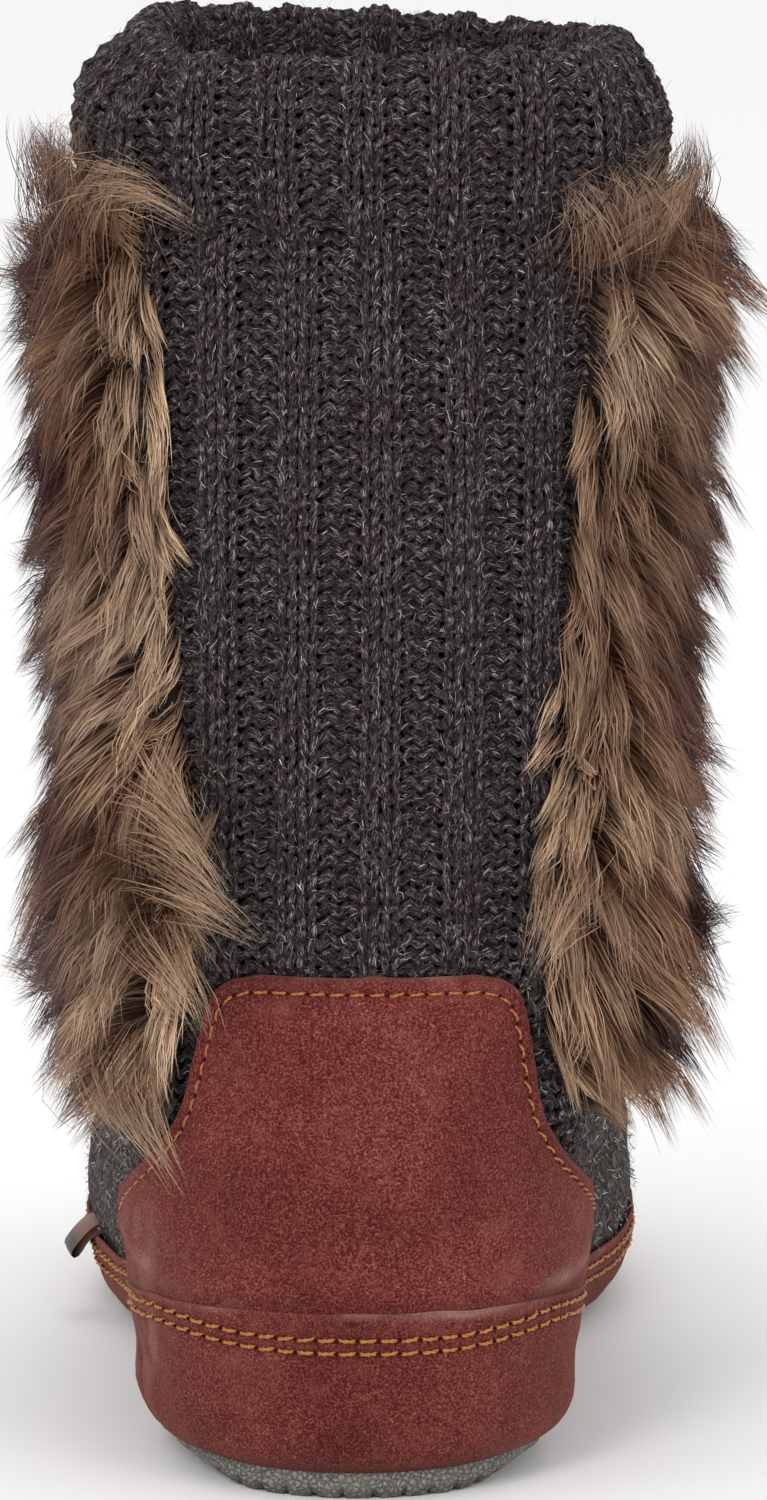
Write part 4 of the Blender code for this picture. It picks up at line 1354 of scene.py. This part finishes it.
# ---- the side tab ----------------------------------------------------------------------------------------------
def make_tab():
    p = Paint("tab_look", 0.45, 0.28)
    weave = p.noise(0.5, 2.0, 0.5)
    rust = p.mix(weave, srgb(92, 50, 42), srgb(128, 78, 66))
    grey = p.mix(weave, srgb(11, 11, 12), srgb(30, 29, 30))
    p.colour(p.mix(p.attribute("edge", "Fac"), grey, rust))
    p.bump(weave, 0.12, 0.5)
    v = BAND_EDGE + 0.10
    columns = 26
    s = -(TAB_FROM_BACK + TAB_LENGTH * np.linspace(0, 1, columns))
    us = row_us(v, s)
    profile = (      # out, up, tint
        (0.5, 0.9, 1.0), (1.8, 0.7, 1.0), (3.0, 0.1, 1.0), (4.2, -0.9, 1.0), (5.3, -2.0, 0.7),
        (6.3, -3.2, 0.1), (7.1, -4.4, 0.0), (7.3, -5.3, 0.0), (6.7, -5.8, 0.0), (5.8, -5.4, 0.0),
        (5.0, -4.4, 0.0), (4.4, -3.4, 0.0), (3.6, -2.4, 0.0), (0.5, -1.0, 0.0),
    )
    rows, tint = [], []
    for out, up, t in profile:
        ring = offset(us, v, out) + (0.0, 0.0, up)
        ring[:, 2] += 0.25 * np.sin(np.linspace(0, math.pi, columns)) + 0.12 * noise(ring, 3.0, 63)
        rows.append(ring)
        tint.append(np.full(columns, t))
    rows = np.array(rows)
    k = len(rows)
    faces = [quads(k, columns, False, True)[:, ::-1]]
    for i, flip in ((0, False), (columns - 1, True)):
        ids = np.arange(k) * columns + i
        half = k // 2
        cap = np.stack((ids[: half - 1], ids[1:half], ids[k - 2 : half - 1 : -1], ids[k - 1 : half : -1]), -1)
        faces.append(cap[:, ::-1] if flip else cap)
    made = mesh_of("tab", rows, faces, p.made, floats={"edge": np.array(tint)})
    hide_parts("side_tab")


make_tab()


# ---- fur --------------------------------------------------------------------------------------------------------
FUR_TURNS = 181        # the field's columns
FUR_LEVELS = 61


def fur_field():
    """Across the fur from the outer... inner back edge round the front (0..1), and up it (0..1)."""
    c, h = np.linspace(0.0, 1.0, FUR_TURNS), np.linspace(0.0, 1.0, FUR_LEVELS)
    C, Hh = np.meshgrid(c, h)
    side = 1 - np.abs(2 * C - 1)
    hem = FUR_HEM_SIDE + (FUR_HEM_FRONT - FUR_HEM_SIDE) * ramp(0.35, 1.0, side)
    height = hem + (FUR_TOP - hem) * Hh
    reach = fur_edge(height)
    v = level_of_height(height)
    u = None
    for _ in range(2):
        total = np.array([round_table(x)[-1] for x in v.ravel()]).reshape(v.shape)
        around = total - 2 * reach
        u = all_us(v, reach + around * C)
        v = levels_at(u, height)
    points, normals = surface(u, v), normal(u, v)
    edge_distance = np.minimum(C, 1 - C) * around
    e = 1e-3
    across = unit(surface(u + e, v) - surface(u - e, v))
    up = unit(np.cross(normals, across))
    return c, h, points, normals, across, up, edge_distance, height


def lookup(grid, c, h):
    """Any array on the fur field's grid, read at (c, h)."""
    i = np.clip(c * (FUR_TURNS - 1), 0, FUR_TURNS - 1.0001)
    j = np.clip(h * (FUR_LEVELS - 1), 0, FUR_LEVELS - 1.0001)
    i0, j0 = i.astype(int), j.astype(int)
    fi, fj = i - i0, j - j0
    if grid.ndim == 3:
        fi, fj = fi[..., None], fj[..., None]
    return (grid[j0, i0] * (1 - fi) + grid[j0, i0 + 1] * fi) * (1 - fj) + (
        grid[j0 + 1, i0] * (1 - fi) + grid[j0 + 1, i0 + 1] * fi
    ) * fj


_, _, fur_points, fur_normals, fur_across, fur_up, fur_near, fur_height = fur_field()
SEGMENTS = 3


def fur_dirs(c, h, rng, wild):
    """What the pile does at a place: its way in the surface, length, and how it leans at each joint."""
    p = lookup(fur_points, c, h)
    near = lookup(fur_near, c, h)
    z = lookup(fur_height, c, h)
    outer = c > 0.5                                 # the outer side is photo left
    to_back = np.where(outer, 1.0, -1.0)            # + is the way u grows
    at_edge = np.exp(-((near / 11.0) ** 2))
    swirl = 95.0 * noise(p, 24.0, 81) + 34.0 * noise(p, 10.0, 82)
    # the pile is brushed over the knit at the ankle, more on the outer side
    sweep = np.where(outer, np.exp(-(((z - 114.0) / 17.0) ** 2)), 0.55 * np.exp(-(((z - 122.0) / 24.0) ** 2)))
    angle = to_back * at_edge * (20.0 + 62.0 * sweep) + swirl * (1 - 0.65 * at_edge * (0.4 + 0.6 * sweep))
    angle = np.radians(angle + rng.normal(0, wild, c.shape))
    rise = ramp(224.0, 231.0, z)
    hem = ramp(0.13, 0.0, h)
    length = (25.5 + 3.0 * noise(p, 19.0, 83)) * (0.62 + 0.38 * ramp(0.0, 17.0, near))
    length = length * (1 + 0.35 * sweep * at_edge) * (1 - 0.15 * rise)
    length = length * (1 + 0.24 * ramp(0.08, 0.15, h) * ramp(0.36, 0.22, h) - np.where(outer, 0.20, 0.36) * ramp(0.11, 0.0, h))
    shoulder = np.exp(-(((z - 228.0) / 7.5) ** 2)) * ramp(14.0, 30.0, near)
    length = length * np.where(outer, 1 - 0.05 * ramp(120.0, 170.0, z), 1 + 0.30 * shoulder)
    lean = np.stack([
        np.full(c.shape, 13.0) + 26 * at_edge,
        np.full(c.shape, 36.0) + 24 * at_edge,
        np.full(c.shape, 58.0) + 16 * at_edge,
    ], -1)
    lean = lean * (1 - 0.32 * hem - np.where(outer, 0.0, 0.38) * shoulder)[..., None] + 10.0 * noise(p, 12.0, 84)[..., None]
    lean = lean + rng.normal(0, wild * 0.6, c.shape)[..., None]
    return p, angle, length, np.radians(lean), rise


def grow(p, n, across, up, angle, length, lean, curl):
    """Strand paths from their roots."""
    way = unit(-up * np.cos(angle)[:, None] + across * np.sin(angle)[:, None])
    side = np.cross(n, way)
    path = [p]
    for k in range(SEGMENTS):
        d = n * np.cos(lean[:, k])[:, None] + way * np.sin(lean[:, k])[:, None]
        d = d + side * (curl * (k - 0.7) * 0.32)[:, None]
        d[:, 2] -= 0.13 * k
        path.append(path[-1] + unit(d) * (length / SEGMENTS)[:, None])
    return np.stack(path, 1)


def make_fur():
    rng = np.random.default_rng(91)
    total = 74000
    # roots, thicker set where the pile is seen from behind and beside
    c, h = rng.random(total * 2), rng.random(total * 2)
    width = lookup(fur_near * 0 + 1.0, c, h)
    side = 1 - np.abs(2 * c - 1)
    density = (1.0 - 0.38 * ramp(0.45, 0.95, side)) * width
    hem = (FUR_TOP - (FUR_HEM_SIDE + (FUR_HEM_FRONT - FUR_HEM_SIDE) * ramp(0.35, 1.0, side))) / (FUR_TOP - FUR_HEM_SIDE)
    kept = rng.random(total * 2) < density * hem
    c, h = c[kept][:total], h[kept][:total]

    # locks, on an uneven grid
    lc, lh = [], []
    for j in range(33):
        count = 46
        lc.append((np.arange(count) + 0.5 * (j % 2) + rng.uniform(-0.42, 0.42, count)) / (count - 0.5))
        lh.append(np.full(count, (j + 0.4) / 32.6) + rng.uniform(-0.45, 0.45, count) / 32.6)
    lc, lh = np.clip(np.concatenate(lc), 0.001, 0.999), np.clip(np.concatenate(lh), 0.0, 1.0)
    lp, la, ll, llean, lrise = fur_dirs(lc, lh, rng, 12.0)
    lcurl = rng.normal(0, 1.3, len(lc))
    ll = ll * rng.uniform(0.78, 1.18, len(lc))
    # the top of the pile stands up over the cuff's foot
    up_tuft = rng.random(len(lc)) < 0.88 * lrise * (1 - ramp(17.0, 27.0, lookup(fur_near, lc, lh)))
    la = np.where(up_tuft, math.pi + 0.45 * la, la)
    tall = np.radians((24.0, 54.0, 70.0)) + rng.normal(0, 0.14, (len(lc), 3))
    llean = np.where(up_tuft[:, None], tall, llean)
    guides = grow(lp, lookup(fur_normals, lc, lh), unit(lookup(fur_across, lc, lh)), unit(lookup(fur_up, lc, lh)), la, ll, llean, lcurl)

    # each strand joins the lock whose root is near it
    tree = kdtree.KDTree(len(lp))
    for i, q in enumerate(lp):
        tree.insert(Vector(q), i)
    tree.balance()
    p, angle, length, lean, _ = fur_dirs(c, h, rng, 10.0)
    pick = rng.random(len(c))
    own = np.zeros(len(c), int)
    for i, q in enumerate(p):
        found = tree.find_n(Vector(q), 2)
        first, second = found[0], found[1]
        share = first[2] / (first[2] + second[2] + 1e-9)
        own[i] = second[1] if pick[i] < (share - 0.30) else first[1]
    turn = np.where(up_tuft[own], 0.0, angle - la[own])
    angle = la[own] + turn * 0.35 + rng.normal(0, 0.10, len(c))
    length = (ll[own] * 0.8 + length * 0.2) * rng.uniform(0.70, 1.06, len(c))
    lean = np.where(up_tuft[own][:, None], llean[own], llean[own] * 0.7 + lean * 0.3)
    curl = lcurl[own] + rng.normal(0, 0.5, len(c))
    n = lookup(fur_normals, c, h)
    n = unit(n)
    path = grow(p, n, unit(lookup(fur_across, c, h)), unit(lookup(fur_up, c, h)), angle, length, lean, curl)

    stray = rng.random(len(c)) < 0.17
    hold = np.where(stray, 0.10, rng.uniform(0.40, 0.82, len(c)))
    tug = np.array([0.0, 0.20, 0.56, 0.92])[None] * hold[:, None]
    guide = guides[own]
    step = np.linspace(0, 1, SEGMENTS + 1)[None] * np.clip(length / ll[own], 0.6, 1.05)[:, None] * SEGMENTS
    k = np.clip(step.astype(int), 0, SEGMENTS - 1)
    f = (step - k)[..., None]
    rows = np.arange(len(c))[:, None]
    along_guide = guide[rows, k] * (1 - f) + guide[rows, k + 1] * f
    scatter = rng.normal(0, 0.50, (len(c), 1, 3)) * np.linspace(0.4, 1.0, SEGMENTS + 1)[None, :, None]
    path = path * (1 - tug[..., None]) + (along_guide + scatter) * tug[..., None]
    wiggle = rng.normal(0, 0.30, path.shape) * np.linspace(0.0, 1.0, SEGMENTS + 1)[None, :, None]
    path = path + wiggle

    # colour along each strand: red-brown at the root, olive gold, then plum tips that gather in patches
    near = lookup(fur_near, c, h)
    by_knit = np.exp(-((near / 12.0) ** 2))
    tone = 0.5 + 0.5 * noise(lp, 21.0, 85)[own] + rng.normal(0, 0.12, len(c))
    dark = ramp(0.42, 0.70, 0.5 + 0.5 * noise(lp, 23.0, 87) + 0.10 * (1 - np.exp(-((lookup(fur_near, lc, lh) / 16.0) ** 2))))[own]
    dark = np.clip(dark * (1 - 0.6 * by_knit) + rng.normal(0, 0.10, len(c)), 0, 1)
    root, low = srgb(62, 37, 30), srgb(102, 65, 49)
    mid = srgb(138, 100, 73)
    pale = srgb(203, 174, 145)
    tip = srgb(80, 47, 51)
    plum_mid, plum_end = srgb(96, 70, 64), srgb(112, 84, 80)
    pale_share = np.clip(0.02 + 0.85 * ramp(0.36, 0.80, tone) + 0.40 * by_knit, 0, 1)
    outside = ramp(14.0, 34.0, near)
    body = mid[None] * (1 - pale_share[:, None]) + pale[None] * pale_share[:, None]
    tip_dark = np.clip(0.16 + 0.55 * dark + 0.58 * outside - 0.30 * by_knit + rng.normal(0, 0.16, len(c)), 0, 1)
    end = body * (1 - tip_dark[:, None]) + tip[None] * tip_dark[:, None]
    stations = np.stack((
        np.broadcast_to(root, body.shape), np.broadcast_to(low, body.shape) * 0.6 + body * 0.4,
        body * (0.85 - 0.62 * outside[:, None]) + end * (0.15 + 0.62 * outside[:, None]), end,
    ), 1)
    dim = 1 - 0.42 * dark[:, None, None] * np.array([0.2, 0.6, 1.0, 0.7])[None, :, None]
    stations = stations * dim * (1 - 0.10 * dark[:, None, None] * np.array([0.0, 0.6, 0.3])[None, None])
    stations = stations * rng.uniform(0.84, 1.2, (len(lc), 1, 1))[own]
    stations = np.clip(stations * rng.uniform(0.80, 1.24, (len(c), 1, 1)), 0.002, 0.9)

    along = unit(np.gradient(path, axis=1))
    roll = rng.uniform(0, math.pi, len(c))
    across = unit(np.cross(along, n[:, None]))
    over = np.cross(across, along)
    flat = across * np.cos(roll)[:, None, None] + over * np.sin(roll)[:, None, None]
    base_width = 0.245 * rng.uniform(0.7, 1.3, len(c))
    widths = base_width[:, None] * np.array([1.0, 1.0, 0.75, 0.2])[None]
    groups = np.array_split(np.argsort(np.where(c > 0.5, 2, 0) + (h > 0.5), kind="stable"), 4)
    for number, group in enumerate(groups):
        points, q, tri = ribbons(path[group], flat[group], widths[group])
        made = mesh_of(
            f"fur_{'abcd'[number]}", points, [q, tri], fur_look,
            colours=spread(stations[group], SEGMENTS + 1),
        )
        if number == 0:
            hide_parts("fur_panel")

    # locks that stray from the pile: joints x, y, z; strands, spread at the root, tip tint (0 pale .. 1 plum)
    locks = (
        ("over_cuff",   ((-46.0, 18.0, 231.0), (-44.0, 5.0, 240.0), (-37.0, -3.0, 240.5), (-27.0, -7.0, 234.5)), 60, 3.0, 0.15),
        ("over_cuff_b", ((-47.0, 22.0, 228.0), (-47.0, 7.0, 238.0), (-43.5, -1.0, 244.0), (-37.5, -5.0, 242.5)), 90, 5.0, 0.30),
        ("over_cuff_c", ((-49.0, 28.0, 229.0), (-52.5, 14.0, 241.0), (-52.5, 8.0, 249.0), (-49.5, 4.0, 252.0)), 80, 5.0, 0.60),
        ("up_outer",    ((-50.0, 46.0, 228.0), (-55.5, 44.0, 237.0), (-58.5, 44.0, 243.0), (-60.0, 44.0, 248.5)), 120, 3.6, 0.95),
        ("up_outer_b",  ((-50.0, 36.0, 228.0), (-54.5, 32.0, 237.0), (-56.0, 30.0, 244.0), (-54.8, 30.0, 250.0)), 110, 3.6, 0.85),
        ("side_outer",  ((-51.0, 50.0, 222.0), (-57.0, 50.0, 225.0), (-61.0, 50.0, 227.5), (-63.8, 50.0, 229.0)), 120, 3.4, 0.95),
        ("up_inner",    ((54.0, 40.0, 227.0), (59.0, 38.0, 234.0), (61.2, 37.0, 241.0), (60.6, 37.0, 248.0)), 130, 3.6, 0.95),
        ("over_inner",  ((46.0, 18.0, 228.0), (48.0, 5.0, 235.0), (48.0, -2.0, 241.0), (45.0, -4.0, 245.5)), 90, 6.5, 0.45),
        ("over_inner_b", ((42.0, 12.0, 227.0), (42.5, 0.0, 233.0), (41.0, -5.0, 239.0), (37.5, -6.0, 243.0)), 80, 5.0, 0.40),
        ("over_inner_c", ((51.0, 25.0, 229.0), (54.5, 12.0, 237.0), (55.5, 7.0, 243.5), (58.0, 6.0, 248.0)), 80, 6.0, 0.60),
        ("swept_a",     ((-36.0, 12.0, 114.0), (-34.5, 0.0, 115.5), (-27.0, -4.5, 112.5), (-18.0, -3.0, 105.5)), 70, 4.6, 0.05),
        ("swept_b",     ((-36.5, 12.0, 123.0), (-35.5, -1.0, 126.0), (-30.0, -5.5, 122.0), (-24.0, -4.0, 113.5)), 80, 4.6, 0.05),
        ("swept_c",     ((-36.5, 12.0, 104.0), (-35.5, -1.0, 102.5), (-30.5, -5.0, 96.5), (-27.0, -3.0, 88.0)), 80, 4.6, 0.10),
        ("swept_d",     ((-37.5, 13.0, 133.0), (-37.5, -1.0, 136.0), (-34.0, -6.0, 132.5), (-28.5, -5.0, 124.5)), 70, 4.6, 0.0),
        ("hem_outer",   ((-41.0, 26.0, 77.0), (-41.5, 13.0, 73.0), (-37.0, 6.5, 66.5), (-32.6, 3.0, 59.5)), 80, 4.0, 0.15),
        ("hem_outer_b", ((-44.0, 36.0, 76.0), (-47.5, 24.0, 73.0), (-45.5, 16.0, 69.0), (-42.5, 12.0, 64.5)), 80, 4.2, 0.25),
        ("swept_inner", ((38.0, 12.0, 113.0), (38.5, -1.0, 112.5), (35.0, -5.0, 107.0), (31.5, -4.0, 99.0)), 70, 4.6, 0.10),
    )
    paths, shades, widths_ = [], [], []
    t = np.linspace(0, 1, SEGMENTS + 1)
    for _, joints, count, root_spread, plum in locks:
        guide = smooth(np.arange(4.0), [j[0] for j in joints]), smooth(np.arange(4.0), [j[1] for j in joints]), smooth(np.arange(4.0), [j[2] for j in joints])
        count = int(count * 1.5)
        long = rng.uniform(0.62, 1.04, count)
        f = np.clip(t[None] * long[:, None] * 3.0, 0, 3)
        line = np.stack([g(f) for g in guide], -1)
        loose = rng.normal(0, 1.0, (count, 1, 3)) * root_spread * (1.0 - 0.72 * t)[None, :, None]
        loose += rng.normal(0, 0.8, (count, 1, 3)) * (t ** 1.5)[None, :, None]
        loose += rng.normal(0, 0.35, line.shape) * t[None, :, None]
        paths.append(line + loose)
        ends_ = pale * 0.95 * (1 - plum) + plum_end * plum
        tint = np.stack((low * 0.7, (low * 0.2 + mid * 0.8) * (1 - plum) + plum_mid * 0.8 * plum, (mid * 0.5 + pale * 0.5) * (1 - plum) + plum_mid * plum, ends_))
        shades.append(tint[None] * rng.uniform(0.74, 1.2, (count, 1, 1)))
        widths_.append(rng.uniform(0.6, 1.1, count) * 0.18)
    paths, shades, widths_ = np.concatenate(paths), np.concatenate(shades), np.concatenate(widths_)
    along = unit(np.gradient(paths, axis=1))
    across = unit(np.cross(along, (0.0, 1.0, 0.0)))
    over = np.cross(across, along)
    roll = rng.uniform(0, math.pi, len(paths))
    flat = across * np.cos(roll)[:, None, None] + over * np.sin(roll)[:, None, None]
    points, q, tri = ribbons(paths, flat, widths_[:, None] * np.array([1.0, 1.0, 0.75, 0.2])[None])
    mesh_of("fur_locks", points, [q, tri], fur_look, colours=spread(shades, SEGMENTS + 1))


make_fur()


def make_fur_skin():
    """The fur's woven back, close on the shaft."""
    p = Paint("fur_skin_look", 0.9, 0.1)
    p.colour(p.mix(p.noise(1.2, 3.0, 0.7), srgb(22, 15, 14), srgb(44, 31, 26)))
    p.bump(p.noise(0.6, 2.0, 0.6), 0.3)
    rows, columns = 44, 120
    c, h = np.meshgrid(np.linspace(0.004, 0.996, columns), np.linspace(0.015, 1.0, rows))
    point, n = lookup(fur_points, c, h), unit(lookup(fur_normals, c, h))
    outer = point + n * (1.6 + 0.5 * noise(point, 4.0, 95))[..., None]
    inner = point + n * 0.35
    m = rows * columns
    ids = np.arange(m).reshape(rows, columns)

    def skirt(k, flip):
        f = np.stack((k[:-1], k[1:], k[1:] + m, k[:-1] + m), -1)
        return f if flip else f[:, ::-1]

    faces = [quads(rows, columns), quads(rows, columns)[:, ::-1] + m]
    faces += [skirt(ids[0], False), skirt(ids[-1], True), skirt(ids[:, 0], True), skirt(ids[:, -1], False)]
    mesh_of("fur_skin", np.concatenate((outer.reshape(-1, 3), inner.reshape(-1, 3))), faces, p.made)


make_fur_skin()


# ---- loose fibres on the knit, the cuff and the felt ------------------------------------------------------------
def fibres(name, place, count, length, width, lift, shades, seed):
    """Fine curved fibres that lie on a surface. place(a, b) gives points and normals for numbers 0..1."""
    rng = np.random.default_rng(seed)
    a, b = rng.random(count), rng.random(count)
    p, n, across, up = place(a, b)
    angle = rng.uniform(0, 2 * math.pi, count)
    turn = rng.normal(0, 0.9, count)
    long = length * rng.uniform(0.45, 1.5, count)
    steps = 3
    path = [p + n * rng.uniform(0.0, lift * 0.5, count)[:, None]]
    rise = rng.normal(0.10, 0.22, count)
    for k in range(steps - 1):
        way = across * np.cos(angle)[:, None] + up * np.sin(angle)[:, None] + n * (rise - 0.12 * k)[:, None]
        path.append(path[-1] + unit(way) * (long / (steps - 1))[:, None])
        angle = angle + turn
    path = np.stack(path, 1)
    along = unit(np.gradient(path, axis=1))
    flat = unit(np.cross(along, n[:, None]))
    w = width * rng.uniform(0.7, 1.4, count)[:, None] * np.array([0.7, 1.0, 0.3])[None]
    points, q, tri = ribbons(path, flat, w)
    shade = rng.random(count)[:, None, None] ** 2.0
    colour = srgb(*shades[0])[None, None] * (1 - shade) + srgb(*shades[1])[None, None] * shade
    colour = np.broadcast_to(colour, (count, steps, 3))
    return mesh_of(name, points, [q, tri], fuzz, colours=spread(colour, steps))


def on_felt(a, b):
    # only where the felt shows, on both sides of the foot
    a = np.where(a < 0.5, 0.13 + 0.52 * a, 0.61 + 0.52 * (a - 0.5))
    v = 2.95 + 3.4 * b
    p, n = surface(a, v), normal(a, v)
    full = 1.7 * ramp(44.0, 75.0, p[..., 1]) * ramp(2.75, 3.25, v) * (1 - ramp(4.6, 6.2, v))
    across = unit(np.cross((0.0, 0.0, 1.0), n) + (1e-6, 0, 0))
    lumps = 0.50 * noise(p, 7.0, 11) + 0.30 * noise(p, 2.6, 12)
    return p + n * (0.16 + full + lumps)[:, None], n, across, np.cross(n, across)


def yarn_fibres(name, yarn, count, seed, loose):
    """Short fibres that lie along the yarn, and a few that stand off it."""
    path, N, radius, keep = yarn
    rng = np.random.default_rng(seed)
    rows, steps = np.nonzero(keep)
    pick = rng.integers(0, len(rows), count)
    r, k = rows[pick], steps[pick]
    f = rng.random(count)[:, None]
    p = path[r, k] * (1 - f) + path[r, k + 1] * f
    n = unit(N[r, k])
    along = unit(path[r, k + 1] - path[r, k]) * np.where(rng.random(count) < 0.5, 1.0, -1.0)[:, None]
    side = unit(np.cross(along, n))
    over = np.cross(side, along)
    angle = rng.normal(0, 0.75, count)
    out = over * np.cos(angle)[:, None] + side * np.sin(angle)[:, None]
    out = np.where(((out * n).sum(-1) > 0)[:, None], out, -out)
    stand = rng.random(count) < loose
    slant = np.where(stand, rng.normal(0, 0.9, count), rng.normal(0.0, 0.32, count))
    way = along * np.cos(slant)[:, None] + np.cross(out, along) * np.sin(slant)[:, None]
    long = np.where(stand, rng.uniform(1.6, 4.0, count), rng.uniform(0.8, 2.1, count))
    rise = np.where(stand, rng.uniform(0.10, 0.75, count), rng.uniform(-0.02, 0.16, count))
    bend = np.where(stand, rng.normal(0, 0.5, count), rng.normal(0, 0.15, count))
    start = p + out * (radius[r, k] * rng.uniform(0.96, 1.07, count))[:, None]
    line = [start]
    for j in range(2):
        d = way + out * (rise - 0.30 * j * (0.4 + rise))[:, None] + np.cross(out, way) * (bend * j * 1.5)[:, None]
        line.append(line[-1] + unit(d) * (long / 2)[:, None])
    line = np.stack(line, 1)
    flat = unit(np.cross(unit(np.gradient(line, axis=1)), out[:, None]))
    w = rng.uniform(0.08, 0.15, count)[:, None] * np.where(stand, 0.6, 1.0)[:, None] * np.array([0.8, 1.0, 0.3])[None]
    points, q, tri = ribbons(line, flat, w)
    shade = rng.random(count) ** np.where(stand, 2.6, 1.7)
    grey = srgb(60, 52, 54)[None] * (1 - shade[:, None]) + srgb(186, 178, 175)[None] * shade[:, None]
    bright = rng.random(count) < 0.006
    grey = np.where(bright[:, None], srgb(226, 220, 210)[None], grey)
    colour = np.broadcast_to(grey[:, None], (count, 3, 3))
    mesh_of(name, points, [q, tri], fuzz, colours=spread(colour, 3))


yarn_fibres("knit_fibres", back_yarn, 16000, 101, 0.10)
yarn_fibres("cuff_fibres", cuff_yarn, 12500, 102, 0.12)
fibres("felt_fuzz", on_felt, 8500, 3.0, 0.17, 0.8, ((24, 17, 18), (206, 197, 192)), 103)


def make_loose_thread():
    """One dark end of yarn caught in the pile under the cuff, inner side."""
    f = np.linspace(0.0, 1.0, 26)
    x = smooth((0.0, 0.35, 0.7, 1.0), (34.5, 39.0, 43.5, 46.6))(f)
    y = smooth((0.0, 0.35, 0.7, 1.0), (0.0, -4.5, -5.0, -1.0))(f)
    z = smooth((0.0, 0.35, 0.7, 1.0), (233.6, 234.8, 238.4, 243.0))(f)
    path = np.stack((x, y, z), -1)[None]
    up = np.broadcast_to(np.array((0.2, -1.0, 0.1)), path.shape)
    ring, angles = tubes(path, up, 0.30 * (1 - 0.5 * np.abs(2 * f - 1) ** 3)[None], 5)
    info = np.zeros((1, len(f), 5, 3))
    info[..., 0] = (f * 16)[None, :, None]
    info[..., 1], info[..., 2] = np.cos(angles), np.sin(angles)
    dark = yarn_paint("loose_end_look", srgb(20, 15, 17), srgb(34, 26, 30), srgb(58, 48, 52))
    mesh_of("loose_end", ring, tube_quads(1, len(f), 5), dark, vectors={"yarn": info})


make_loose_thread()

# ---- the room: floor, light and camera -----------------------------------------------------------------------------
def make_stage():
    mesh = bpy.data.meshes.new("floor")
    size = 6.0
    mesh.from_pydata([(-size, -size, 0), (size, -size, 0), (size, size, 0), (-size, size, 0)], [], [(0, 1, 2, 3)])
    made = bpy.data.materials.new("floor_look")
    made.use_nodes = True
    shader = made.node_tree.nodes["Principled BSDF"]
    shader.inputs["Base Color"].default_value = (0.93, 0.93, 0.93, 1.0)
    shader.inputs["Roughness"].default_value = 0.9
    shader.inputs["Specular IOR Level"].default_value = 0.1
    mesh.materials.append(made)
    floor = bpy.data.objects.new("floor", mesh)
    bpy.context.scene.collection.objects.link(floor)


def lamp(name, place, aim, size, watts):
    light = bpy.data.lights.new(name, "AREA")
    light.shape = "DISK"
    light.size = size
    light.energy = watts
    obj = bpy.data.objects.new(name, light)
    bpy.context.scene.collection.objects.link(obj)
    obj.location = place
    obj.rotation_mode = "QUATERNION"
    obj.rotation_quaternion = (Vector(aim) - Vector(place)).to_track_quat("-Z", "Y")


make_stage()
lamp("key", (-0.8, -1.8, 1.2), (0.0, 0.0, 0.12), 0.8, 14.0)
lamp("fill", (1.2, -1.6, 0.8), (0.0, 0.0, 0.12), 1.0, 6.0)
lamp("top", (0.0, 0.1, 1.9), (0.0, 0.0, 0.1), 1.2, 4.0)
world = bpy.data.worlds.new("studio")
world.use_nodes = True
world.node_tree.nodes["Background"].inputs["Color"].default_value = (1.0, 1.0, 1.0, 1.0)
world.node_tree.nodes["Background"].inputs["Strength"].default_value = 0.95
bpy.context.scene.world = world
bpy.context.scene.view_settings.view_transform = "Standard"
bpy.context.scene.view_settings.look = "None"

camera = bpy.data.objects.new("camera", bpy.data.cameras.new("camera"))
bpy.context.scene.collection.objects.link(camera)
camera.data.sensor_fit = "AUTO"
camera.data.sensor_width = 36.0
camera.data.lens = 36.0 * 11296.0 / 1500.0
camera.data.clip_start, camera.data.clip_end = 0.1, 50.0
camera.data.dof.use_dof = False
eye = Vector(((4.7 - MIDDLE_X) * MM, (-2000.0 - MIDDLE_Y) * MM, 0.487))
aim = Vector(((4.7 - MIDDLE_X) * MM, (50.0 - MIDDLE_Y) * MM, 0.1309))
camera.location = eye
camera.rotation_mode = "QUATERNION"
camera.rotation_quaternion = (aim - eye).to_track_quat("-Z", "Y")
bpy.context.scene.camera = camera
